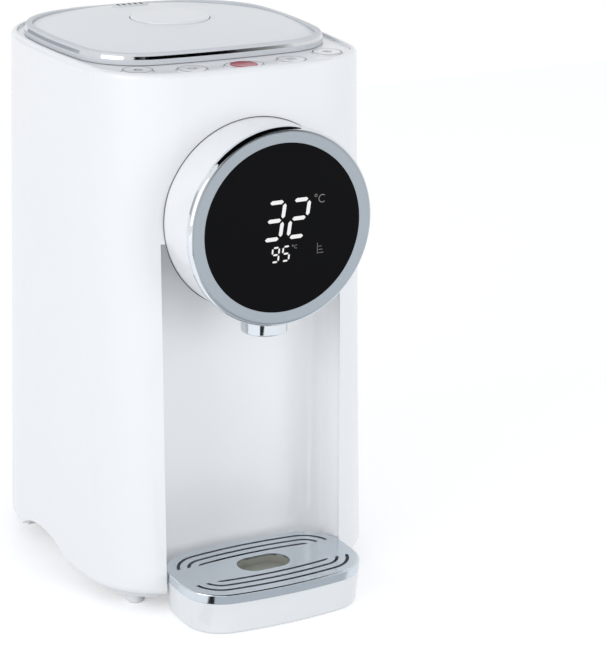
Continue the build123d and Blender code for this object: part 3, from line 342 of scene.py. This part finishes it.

# %% [markdown]
# ### The lid's ring
# Only a line round the ring's bevel shows as bright metal. Above and below it the ring is painted silver
# grey, a shade darker than the lid: a painted reflection of the grey that the chrome mirrors there. So one
# shader holds both looks, and the height above the table says which one shows. The painted grey isn't metal,
# so the metallic value changes too.

# %% Plated ring with painted reflection
RING_TOP_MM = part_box("lid_trim_ring")[1][2] / MM
BRIGHT_BELOW_TOP_MM = 2.45
BRIGHT_MIDDLE_MM = RING_TOP_MM - BRIGHT_BELOW_TOP_MM
BRIGHT_HALF_MM = 0.95
MASK_EDGE_MM = 0.1
PLATE_ROUGHNESS = (0.05, 0.11)
PAINTED_GREY_ROUGHNESS = 0.4


def ring_with_painted_reflection(name, plate_colour, painted_reflection_colour):
    """A bright plated line round the ring, with semi-gloss silver grey above and below it as painted
    reflection.
    """
    stuff, tree = new_material(name)
    place = add(tree, "TexCoord")
    split = add(tree, "SeparateXYZ", links={"Vector": place.outputs["Object"]})
    above = add(tree, "Math", {"operation": "SUBTRACT", 1: BRIGHT_MIDDLE_MM * MM}, {0: split.outputs["Z"]})
    off = add(tree, "Math", {"operation": "ABSOLUTE"}, {0: above.outputs[0]})
    masked = add(tree, "MapRange", {"From Min": (BRIGHT_HALF_MM - MASK_EDGE_MM) * MM,
                                    "From Max": (BRIGHT_HALF_MM + MASK_EDGE_MM) * MM},
                 {"Value": off.outputs[0]})
    touch = add(tree, "TexNoise", {"Scale": per_mm(TOUCH_MM), "Detail": 4.0},
                {"Vector": place.outputs["Object"]})
    polish = add(tree, "MapRange", {"To Min": PLATE_ROUGHNESS[0], "To Max": PLATE_ROUGHNESS[1]},
                 {"Value": touch.outputs["Fac"]})
    dull = add(tree, "Mix", {"data_type": "FLOAT", "B": PAINTED_GREY_ROUGHNESS},
               {"Factor": masked.outputs["Result"], "A": polish.outputs["Result"]})
    metal = add(tree, "MapRange", {"To Min": 1.0, "To Max": 0.0}, {"Value": masked.outputs["Result"]})
    tone = add(tree, "Mix", {"data_type": "RGBA", 6: linear(plate_colour), 7: linear(painted_reflection_colour)},
               {"Factor": masked.outputs["Result"]})
    body = add(tree, "BsdfPrincipled", links={"Base Color": tone.outputs[2], "Roughness": dull.outputs[0],
                                              "Metallic": metal.outputs["Result"]})
    add(tree, "OutputMaterial", links={"Surface": body.outputs["BSDF"]})
    return stuff


# painted reflection: the silver grey above and below the bright line stands for what the chrome mirrors
# there
ring_finish = ring_with_painted_reflection("chrome plating with painted reflection at its edges", "D4D6D9", "D3D6DA")
print("bright line", round(BRIGHT_MIDDLE_MM, 1), "mm above the table")

# %% [markdown]
# ### The pod's ring
# The bezel is one ring of turned aluminium with two finishes. Its flat face is satin, with the fine circles
# of the lathe, and its round shoulder is buffed to a mirror. The finish is chosen by the distance from the
# pod's axis, so the border stays a true circle. The circles lie about 0.1 mm apart on a real ring. That is
# too fine to show, so they are drawn five times as coarse.

# %% Two finishes on the pod's ring
POD_Z_MM = 250.5
SATIN_TO_MM = 59.4
FINISH_EDGE_MM = 0.3
TURNING_MM = 0.5
TURNING_DEPTH_MM = 0.008
SATIN_ROUGHNESS = (0.27, 0.36)
BUFFED_ROUGHNESS = 0.05


def turned_ring(name, satin_colour, buffed_colour):
    """Aluminium: satin with turning marks inside SATIN_TO_MM from the pod's axis, buffed outside it."""
    stuff, tree = new_material(name)
    place = add(tree, "TexCoord")
    split = add(tree, "SeparateXYZ", links={"Vector": place.outputs["Object"]})
    across = add(tree, "CombineXYZ", {"Z": 0.0}, {"X": split.outputs["X"], "Y": split.outputs["Z"]})
    centred = add(tree, "VectorMath", {"operation": "SUBTRACT", 1: (0, POD_Z_MM * MM, 0)},
                  {0: across.outputs[0]})
    reach = add(tree, "VectorMath", {"operation": "LENGTH"}, {0: centred.outputs[0]})
    rings = add(tree, "CombineXYZ", {"Y": 0.0, "Z": 0.0}, {"X": reach.outputs["Value"]})
    marks = add(tree, "TexNoise", {"Scale": per_mm(TURNING_MM), "Detail": 3.0}, {"Vector": rings.outputs[0]})
    buffed = add(tree, "MapRange", {"From Min": (SATIN_TO_MM - FINISH_EDGE_MM) * MM,
                                    "From Max": (SATIN_TO_MM + FINISH_EDGE_MM) * MM},
                 {"Value": reach.outputs["Value"]})
    satin = add(tree, "MapRange", {"To Min": SATIN_ROUGHNESS[0], "To Max": SATIN_ROUGHNESS[1]},
                {"Value": marks.outputs["Fac"]})
    dull = add(tree, "Mix", {"data_type": "FLOAT", "B": BUFFED_ROUGHNESS},
               {"Factor": buffed.outputs["Result"], "A": satin.outputs["Result"]})
    depth = add(tree, "MapRange", {"To Min": 1.0, "To Max": 0.0}, {"Value": buffed.outputs["Result"]})
    wave = add(tree, "Bump", {"Distance": TURNING_DEPTH_MM * MM},
               {"Height": marks.outputs["Fac"], "Strength": depth.outputs["Result"]})
    tone = add(tree, "Mix", {"data_type": "RGBA", 6: linear(satin_colour), 7: linear(buffed_colour)},
               {"Factor": buffed.outputs["Result"]})
    body = add(tree, "BsdfPrincipled", {"Metallic": 1.0},
               {"Base Color": tone.outputs[2], "Roughness": dull.outputs[0],
                "Normal": wave.outputs["Normal"]})
    add(tree, "OutputMaterial", links={"Surface": body.outputs["BSDF"]})
    return stuff


bezel_metal = turned_ring("turned aluminium, satin face and buffed shoulder", "A8B0B7", "DDE1E5")
print("bezel:", bezel_metal.name)

# %% [markdown]
# ### Steel and cast metal
# The tank is drawn from stainless steel and brushed, the pins, screws and spout are bright steel, and the
# heater plate is cast aluminium. Drawing leaves fine scratches that run level round a piece, so the noise
# is stretched sideways. Such scratches are a tenth of a millimetre apart, and are drawn coarser so that
# they show.

# %% Stainless steel of the tank, and small metal pieces
SCRATCH_SQUEEZE = 0.03
SCRATCH_DEPTH_MM = 0.006
SCRATCH_SPREAD = 0.14


def brushed_steel(name, colour, roughness, grain_mm):
    """Drawn or sanded metal, with level scratches grain_mm apart that are over 30 times as long as wide."""
    stuff, tree = new_material(name)
    place = add(tree, "TexCoord")
    level = add(tree, "Mapping", {"Scale": (SCRATCH_SQUEEZE, SCRATCH_SQUEEZE, 1.0)},
                {"Vector": place.outputs["Object"]})
    scratch = add(tree, "TexNoise", {"Scale": per_mm(grain_mm), "Detail": 3.0}, {"Vector": level.outputs[0]})
    dull = add(tree, "MapRange", {"To Min": roughness, "To Max": roughness + SCRATCH_SPREAD},
               {"Value": scratch.outputs["Fac"]})
    wave = add(tree, "Bump", {"Distance": SCRATCH_DEPTH_MM * MM}, {"Height": scratch.outputs["Fac"]})
    body = add(tree, "BsdfPrincipled", {"Base Color": linear(colour), "Metallic": 1.0},
               {"Roughness": dull.outputs["Result"], "Normal": wave.outputs["Normal"]})
    add(tree, "OutputMaterial", links={"Surface": body.outputs["BSDF"]})
    return stuff


tank_steel = brushed_steel("stainless steel, drawn and brushed", "C2C2C0", 0.24, 0.6)
pin_steel = brushed_steel("bright drawn steel", "CFCFCD", 0.16, 0.3)
cast_aluminium = brushed_steel("cast aluminium, sand finished", "B3B4B5", 0.42, 0.9)
print("steel:", tank_steel.name)

# %% [markdown]
# ## Glass, light and rubber
# The pod's face is a disc of cover glass, printed black behind and coated against glare, so it stays nearly
# black even in a white room. The digits are segments that light up behind it. They are modelled as thin
# shapes just on its face, because light behind real black glass would need hundreds of samples to come
# through. The red lens of one key glows faintly, as if it were lit from below. Rubber feet are matt, and so
# is the grey painted shadow round the drum. Light enters the silicone of the seals and hoses a little, which
# makes them milky.

# %% Cover glass, lit segments, lens and seals
HAZE_MM = 20
HAZE_SPREAD = 0.15


def plain(name, colour, roughness, **sockets):
    """A simple surface with a very fine unevenness of its gloss. sockets are more values for the shader."""
    stuff, tree = new_material(name)
    place = add(tree, "TexCoord")
    haze = add(tree, "TexNoise", {"Scale": per_mm(HAZE_MM), "Detail": 3.0},
               {"Vector": place.outputs["Object"]})
    dull = add(tree, "MapRange",
               {"To Min": roughness * (1 - HAZE_SPREAD), "To Max": roughness * (1 + HAZE_SPREAD)},
               {"Value": haze.outputs["Fac"]})
    settings = {"Base Color": linear(colour)}
    settings.update({key.replace("_", " "): value for key, value in sockets.items()})
    body = add(tree, "BsdfPrincipled", settings, {"Roughness": dull.outputs["Result"]})
    add(tree, "OutputMaterial", links={"Surface": body.outputs["BSDF"]})
    return stuff


black_glass = plain("black-printed cover glass, anti-glare", "070709", 0.1, Specular_IOR_Level=0.06, IOR=1.5)
lit_segment = plain("lit white segment", "1A1A1A", 0.5, Emission_Color=linear("F4F4F4"),
                    Emission_Strength=0.95)
dim_segment = plain("dim printed mark behind glass", "1A1A1A", 0.5, Emission_Color=linear("A8A8A6"),
                    Emission_Strength=0.6)
red_lens = plain("red translucent polycarbonate, lit", "A01C34", 0.2, Emission_Color=linear("B02040"),
                 Emission_Strength=0.1, Coat_Weight=0.2)
# pad-printed ink for the signs, and painted shade for the grey line near each key's edge
ink_and_gap_shade = plain("grey pad-printed ink and painted gap shade", "888E95", 0.5)
# painted shadow: a thin grey line that stands for the dark gap round the drum
drum_shade_paint = plain("grey painted shadow round the drum", "5C5E60", 0.5)
# painted shade: a black sheet that stands for the dark depth of the vent's slots
slot_shade_paint = plain("black painted shade in the vent's slots", "111214", 0.6)
foot_rubber = plain("matt white TPE rubber", "F0F2F3", 0.6)
milky_silicone = plain("milky silicone rubber", "DAD9D2", 0.4, Subsurface_Weight=0.15)
dark_module = plain("dark smoked display module", "17181A", 0.25)
plated_brass = plain("nickel-plated brass pin", "C8BFA6", 0.2, Metallic=1.0)
print("glass:", black_glass.name)

# %% [markdown]
# ### Circuit boards
# The boards are glass-fibre laminate under green solder mask. The copper tracks below the mask make paler
# lines, and a brick pattern draws them well enough for boards that show only when the pot is taken apart.

# %% Circuit board laminate
TRACK_STEP_MM = 2.5
ROWS_IN_A_REPEAT = 4


def laminate(name):
    """Green solder mask over copper tracks, whose rows lie TRACK_STEP_MM apart."""
    stuff, tree = new_material(name)
    place = add(tree, "TexCoord")
    tracks = add(tree, "TexBrick",
                 {"Scale": per_mm(TRACK_STEP_MM * ROWS_IN_A_REPEAT), "Color1": linear("1F6B3E"),
                  "Color2": linear("236F42"), "Mortar": linear("3C8A58"), "Mortar Size": 0.05},
                 {"Vector": place.outputs["Object"]})
    body = add(tree, "BsdfPrincipled", {"Roughness": 0.35, "IOR": 1.5},
               {"Base Color": tracks.outputs["Color"]})
    add(tree, "OutputMaterial", links={"Surface": body.outputs["BSDF"]})
    return stuff


board_green = laminate("glass-fibre laminate with green solder mask")
print("laminate:", board_green.name)

# %% [markdown]
# ## Dressing the solids
# Each solid already has the right shape, so it only changes its material. The list pairs every piece with
# what it is made of on the real pot.

# %% Give every solid its finish
finishes = {
    glossy_abs: ["housing_shell", "top_deck", "pod_drum", "key_lock", "key_volume", "key_dispense",
                 "key_heat", "key_boil"],
    bay_abs_painted_light: ["bay_panel"],
    tray_abs: ["drip_tray"],
    lid_abs: ["lid_cover"],
    lever_abs: ["lid_lever"],
    satin_abs: ["base_plate", "pod_back_cover", "steam_vent", "pump_impeller"],
    grey_pp: ["lid_base", "lid_latch", "pod_lock_ring", "tank_cradle", "thermostats", "pump_housing",
              "power_inlet"],
    dark_pp: ["drain_cup"],
    ring_finish: ["lid_trim_ring"],
    collar_chrome: ["nozzle_collar"],
    grid_chrome: ["drip_grid"],
    bezel_metal: ["pod_bezel"],
    tank_steel: ["tank", "tank_sensor", "heater_coil", "pump_motor"],
    pin_steel: ["base_screws", "hinge_pin", "lever_pin", "nozzle_spout"],
    cast_aluminium: ["heater_plate", "warming_band"],
    black_glass: ["pod_glass"],
    red_lens: ["key_lens"],
    foot_rubber: ["feet"],
    milky_silicone: ["tank_gasket", "lid_gasket", "suction_hose", "riser_hose"],
    dark_module: ["display_module"],
    plated_brass: ["inlet_pins"],
    board_green: ["switch_board", "display_board", "power_board"],
}
dressed = set()
for material, names in finishes.items():
    for name in names:
        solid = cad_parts[name]
        if not solid.material_slots:
            solid.data.materials.append(material)
        for material_slot in solid.material_slots:
            material_slot.link = "OBJECT"
            material_slot.material = material
        dressed.add(name)
print("dressed", len(dressed), "of", len(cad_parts), "left:", sorted(set(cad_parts) - dressed))

# %% [markdown]
# ## Lit digits on the pod
# The display has slanted seven-segment figures: a large 32 for the water's temperature, a smaller 95 for
# the one that is set, each with its degree sign. A font would give the wrong letter shapes, so each segment
# is a small six-cornered bar, and a slant leans the whole figure to the right. All places are in
# millimetres from the pod's axis, to the right and up.

# %% Tools for flat marks
SHEET_MM = 0.08
STANDOFF_MM = 0.02
ARC_STEPS = 20


def bar(work, start, end, thick):
    """Adds a flat bar with pointed ends between two places, and returns its corners."""
    start, end = Vector(start), Vector(end)
    along = (end - start).normalized()
    side = Vector((-along.y, along.x)) * thick / 2
    tip = along * thick / 2
    corners = (start, start + tip + side, end - tip + side, end, end - tip - side, start + tip - side)
    points = [work.verts.new((corner.x, corner.y, 0)) for corner in corners]
    work.faces.new(points)
    return points


def arc_strip(work, centre, radius, thick, start, stop):
    """Adds a flat ring segment from one angle to another, in degrees."""
    inner, outer = [], []
    for i in range(ARC_STEPS + 1):
        angle = math.radians(start + (stop - start) * i / ARC_STEPS)
        way = Vector((math.cos(angle), math.sin(angle)))
        inner.append(work.verts.new((Vector(centre) + way * (radius - thick / 2)).to_3d()))
        outer.append(work.verts.new((Vector(centre) + way * (radius + thick / 2)).to_3d()))
    for i in range(ARC_STEPS):
        work.faces.new((inner[i], outer[i], outer[i + 1], inner[i + 1]))


def thin_piece(work, name, material, body, place):
    """Turns flat millimetre shapes into a thin piece. place gives the spot in metres for x, y and height."""
    bmesh.ops.solidify(work, geom=work.faces[:], thickness=SHEET_MM)
    bmesh.ops.recalc_face_normals(work, faces=work.faces[:])
    for point in work.verts:
        point.co = place(point.co.x, point.co.y, abs(point.co.z))
    mesh = mesh_of(work, name)
    piece = new_object(name, mesh)
    mesh.materials.append(material)
    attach(piece, body)
    return piece


print("marks are", SHEET_MM, "mm thick")

# %% Segment figures
GLASS_FACE_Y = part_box("pod_glass")[0][1]
SEGMENTS = {"2": "abged", "3": "abgcd", "5": "afgcd", "9": "abcdfg"}
END_GAP = 0.42
LARGE = {"bottom": -6.1, "width": 11.0, "height": 22.2, "thick": 2.4, "slant": 0.15}
SMALL = {"bottom": -20.2, "width": 4.3, "height": 8.7, "thick": 1.1, "slant": 0.1}
# Every figure with its left edge and its size
FIGURES = [("3", -12.9, LARGE), ("2", 3.5, LARGE), ("9", -7.4, SMALL), ("5", -0.4, SMALL)]


def figure(work, sign, left, bottom, width, height, thick, slant):
    """Adds the lit bars of one figure. Each bar ends END_GAP of its thickness short of the corner."""
    middle, top, right_edge = bottom + height / 2, bottom + height, left + width
    ends = {
        "a": ((left, top), (right_edge, top)),
        "b": ((right_edge, middle), (right_edge, top)),
        "c": ((right_edge, bottom), (right_edge, middle)),
        "d": ((left, bottom), (right_edge, bottom)),
        "e": ((left, bottom), (left, middle)),
        "f": ((left, middle), (left, top)),
        "g": ((left, middle), (right_edge, middle)),
    }
    for letter in SEGMENTS[sign]:
        start, end = (Vector(place) for place in ends[letter])
        trim = (end - start).normalized() * (thick * END_GAP)
        for point in bar(work, start + trim, end - trim, thick):
            point.co.x += (point.co.y - bottom) * slant


def on_glass(x, up, height):
    """Just in front of the pod's glass."""
    return x * MM, GLASS_FACE_Y - (STANDOFF_MM + height) * MM, (POD_Z_MM + up) * MM


work = bmesh.new()
for sign, left, size in FIGURES:
    figure(work, sign, left, **size)
digits = thin_piece(work, "display_digits", lit_segment, "housing", on_glass)
print("figures:", len(digits.data.polygons), "faces")

# %% Degree signs and the level sign
OPENING_DEGREES = 50
RUNGS = 3
RUNG_PITCH_MM = 2.0
LONGEST_RUNG_MM = 3.6
RUNG_SHRINK_MM = 0.6
STEM_GAP_MM = 0.6
STEM_ABOVE_MM = 0.2


def degree_sign(work, ring, letter):
    """A small ring and the letter C, open to the right, each given by its centre, radius and thickness."""
    arc_strip(work, *ring, 0, 360)
    arc_strip(work, *letter, OPENING_DEGREES, 360 - OPENING_DEGREES)


def level_sign(work, left, bottom, thick):
    """Three rungs beside a stem, the lowest one the longest."""
    for rung in range(RUNGS):
        height = bottom + rung * RUNG_PITCH_MM
        bar(work, (left, height), (left + LONGEST_RUNG_MM - rung * RUNG_SHRINK_MM, height), thick)
    stem = left - STEM_GAP_MM
    bar(work, (stem, bottom - STEM_GAP_MM), (stem, bottom + RUNGS * RUNG_PITCH_MM + STEM_ABOVE_MM), thick)


work = bmesh.new()
degree_sign(work, ring=((22.0, 17.5), 0.8, 0.33), letter=((26.3, 15.3), 2.3, 0.5))
degree_sign(work, ring=((6.7, -11.5), 0.5, 0.22), letter=((8.9, -12.3), 1.0, 0.28))
level_sign(work, left=24.0, bottom=-18.1, thick=0.3)
signs = thin_piece(work, "display_signs", dim_segment, "housing", on_glass)
print("signs:", len(signs.data.polygons), "faces")

# %% [markdown]
# ## Printed keys and painted gap shade
# Five keys lie in the deck behind the rim. Each has a thin grey line near its edge, painted shade for the
# dark gap round the key, and four have a small sign printed on the cap. Ink stands only a few hundredths of
# a millimetre proud, so flat ribbons do for both, and they ride on the keys so that they go down with them.

# %% Lines and signs for the key caps
LINE_MM = 0.45
STROKE_MM = 0.5
OVAL_STEPS = 72


def oval_strip(work, half_x, half_y, thick):
    """Adds a closed flat line round an oval."""
    inner, outer = [], []
    for i in range(OVAL_STEPS):
        angle = 2 * math.pi * i / OVAL_STEPS
        for loop, grow in ((inner, -thick / 2), (outer, thick / 2)):
            x, y = (half_x + grow) * math.cos(angle), (half_y + grow) * math.sin(angle)
            loop.append(work.verts.new((x, y, 0)))
    for i in range(OVAL_STEPS):
        j = (i + 1) % OVAL_STEPS
        work.faces.new((inner[i], outer[i], outer[j], inner[j]))


def strokes(work, *ends):
    """Adds a printed stroke between each pair of ends."""
    for start, end in ends:
        bar(work, start, end, STROKE_MM)


def sign_lock(work):
    """A padlock: its bow over the four sides of its case."""
    top_left, top_right, low_left, low_right = (-2.1, 0.6), (2.1, 0.6), (-2.1, -2.2), (2.1, -2.2)
    arc_strip(work, (0, 0.9), 1.5, STROKE_MM, 0, 180)
    strokes(work, (top_left, top_right), (low_left, low_right), (low_left, top_left), (low_right, top_right))


def sign_cup(work):
    """A cup with its handle."""
    brim_left, brim_right, foot_left, foot_right = (-2.4, 2.0), (2.0, 2.0), (-1.8, -2.0), (1.4, -2.0)
    strokes(work, (brim_left, brim_right), (brim_left, foot_left), (brim_right, foot_right),
            (foot_left, foot_right))
    arc_strip(work, (2.0, 0.4), 1.2, LINE_MM, -70, 80)


def sign_heat(work):
    """Three rising strokes, each with a bend."""
    for x in (-2.0, 0.0, 2.0):
        foot, bend, tip = (x, -2.4), (x + 0.5, 0.2), (x, 2.6)
        strokes(work, (foot, bend), (bend, tip))


def sign_boil(work):
    """Two rings, one in the other."""
    for radius in (2.6, 1.0):
        oval_strip(work, radius, radius, STROKE_MM)


KEY_SIGNS = {"key_lock": sign_lock, "key_volume": sign_cup, "key_heat": sign_heat, "key_boil": sign_boil}
print("signs for", sorted(KEY_SIGNS))

# %% Print every key and paint the shade of its gap
LINE_INSET_MM = 1.6
CAP_MARK_SHARE = 0.5
KEY_BODIES = {"key_lock": "lock_key", "key_volume": "volume_key", "key_dispense": "dispense_key",
              "key_heat": "heat_key", "key_boil": "boil_key"}
for key, body in KEY_BODIES.items():
    low, high = (Vector(corner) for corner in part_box(key))
    centre = (low + high) / 2

    def on_cap(x, y, height, centre=centre, top=high.z):
        """Just above the cap of this key, with marks thinner than the other marks: the print and the painted
        shade of the key's gap.
        """
        return centre.x + x * MM, centre.y + y * MM, top + (STANDOFF_MM + height * CAP_MARK_SHARE) * MM

    half = (high - low) / MM / 2
    work = bmesh.new()
    # painted shade: a thin grey line near the cap's edge, where the gap round the key falls dark
    oval_strip(work, half.x - LINE_INSET_MM, half.y - LINE_INSET_MM, LINE_MM)
    if key in KEY_SIGNS:
        KEY_SIGNS[key](work)
    cap_marks = thin_piece(work, key + "_print_and_gap_shade", ink_and_gap_shade, body, on_cap)
    print(key, [round(value, 1) for value in half], "mm half size")

# %% [markdown]
# ## Seam and vent
# A grey line of painted shadow stands where the gap between the white drum and the shell falls dark. It runs
# over the bowed front, so its depth comes from rays that are sent along the pod's axis. The steam vent's
# slots look black because a black sheet of painted shade lies just under them.

# %% Painted shadow line round the drum
SHADOW_LINE_RADIUS = 0.32 * MM
SHADOW_LINE_OUTSIDE_DRUM = 0.15 * MM
SHADOW_LINE_STEPS = 180
SHADOW_LINE_SIDES = 8
RAY_START_Y = -0.2


def hit_depth(solid, x, z):
    """Where a ray from the front meets the solid, or None."""
    origin = solid.matrix_world.inverted() @ Vector((x, RAY_START_Y, z))
    found, place, _, _ = solid.ray_cast(origin, Vector((0, 1, 0)))
    return (solid.matrix_world @ place).y if found else None


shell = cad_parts["housing_shell"]
drum_low, drum_high = (Vector(corner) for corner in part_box("pod_drum"))
drum_radius = (drum_high.x - drum_low.x) / 2
deepest = drum_high.y - SHADOW_LINE_RADIUS
work = bmesh.new()
rings = []
for i in range(SHADOW_LINE_STEPS):
    angle = 2 * math.pi * i / SHADOW_LINE_STEPS
    out = Vector((math.cos(angle), 0, math.sin(angle)))
    spot = out * (drum_radius + SHADOW_LINE_OUTSIDE_DRUM) + Vector((0, 0, POD_Z_MM * MM))
    depth = hit_depth(shell, spot.x, spot.z)
    spot.y = deepest if depth is None else min(depth, deepest)
    ring = []
    for k in range(SHADOW_LINE_SIDES):
        bend = 2 * math.pi * k / SHADOW_LINE_SIDES
        back = Vector((0, SHADOW_LINE_RADIUS * math.sin(bend), 0))
        ring.append(work.verts.new(spot + out * (SHADOW_LINE_RADIUS * math.cos(bend)) + back))
    rings.append(ring)
for i, here in enumerate(rings):
    there = rings[(i + 1) % SHADOW_LINE_STEPS]
    for k in range(SHADOW_LINE_SIDES):
        following = (k + 1) % SHADOW_LINE_SIDES
        work.faces.new((here[k], here[following], there[following], there[k]))
bmesh.ops.recalc_face_normals(work, faces=work.faces[:])
# this ring is painted shadow for the seam between the drum and the shell
mesh = mesh_of(work, "drum_shadow_line")
mesh.materials.append(drum_shade_paint)
mesh.shade_smooth()
drum_shadow_line = new_object("drum_shadow_line", mesh)
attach(drum_shadow_line, "housing")
depths = [point.co.y / MM for point in mesh.vertices]
print("the painted shadow line lies at y", round(min(depths), 1), "to", round(max(depths), 1), "mm")

# %% Painted shade under the vent's slots
SLOTS = 5
SLOT_PITCH_MM = 4.0
SLOT_HALF_WIDTH_MM = 0.66
SLOT_HALF_LENGTH_MM = 2.9
SLOT_SHADE_DEPTH_MM = 0.45
vent_low, vent_high = (Vector(corner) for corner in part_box("steam_vent"))
vent_centre = (vent_low + vent_high) / 2
# these black patches are painted shade that makes the slots read dark
work = bmesh.new()
for i in range(SLOTS):
    middle = (i - (SLOTS - 1) / 2) * SLOT_PITCH_MM
    work.faces.new([work.verts.new((middle + SLOT_HALF_WIDTH_MM * side_x, SLOT_HALF_LENGTH_MM * side_y, 0))
                    for side_x, side_y in ((-1, -1), (1, -1), (1, 1), (-1, 1))])


def in_vent(x, y, height):
    """A little under the top of the vent."""
    return vent_centre.x + x * MM, vent_centre.y + y * MM, vent_high.z + (height - SLOT_SHADE_DEPTH_MM) * MM


vent_slot_shade = thin_piece(work, "vent_slot_shade", slot_shade_paint, "lid", in_vent)
print("vent slot shade under", round(vent_high.z / MM, 1), "mm")

# %% [markdown]
# ## View transform
# The colours were chosen for a plain view, where a colour renders about as it is written, so the view
# transform is Standard.

# %% Set the view transform
bpy.context.scene.view_settings.view_transform = "Standard"
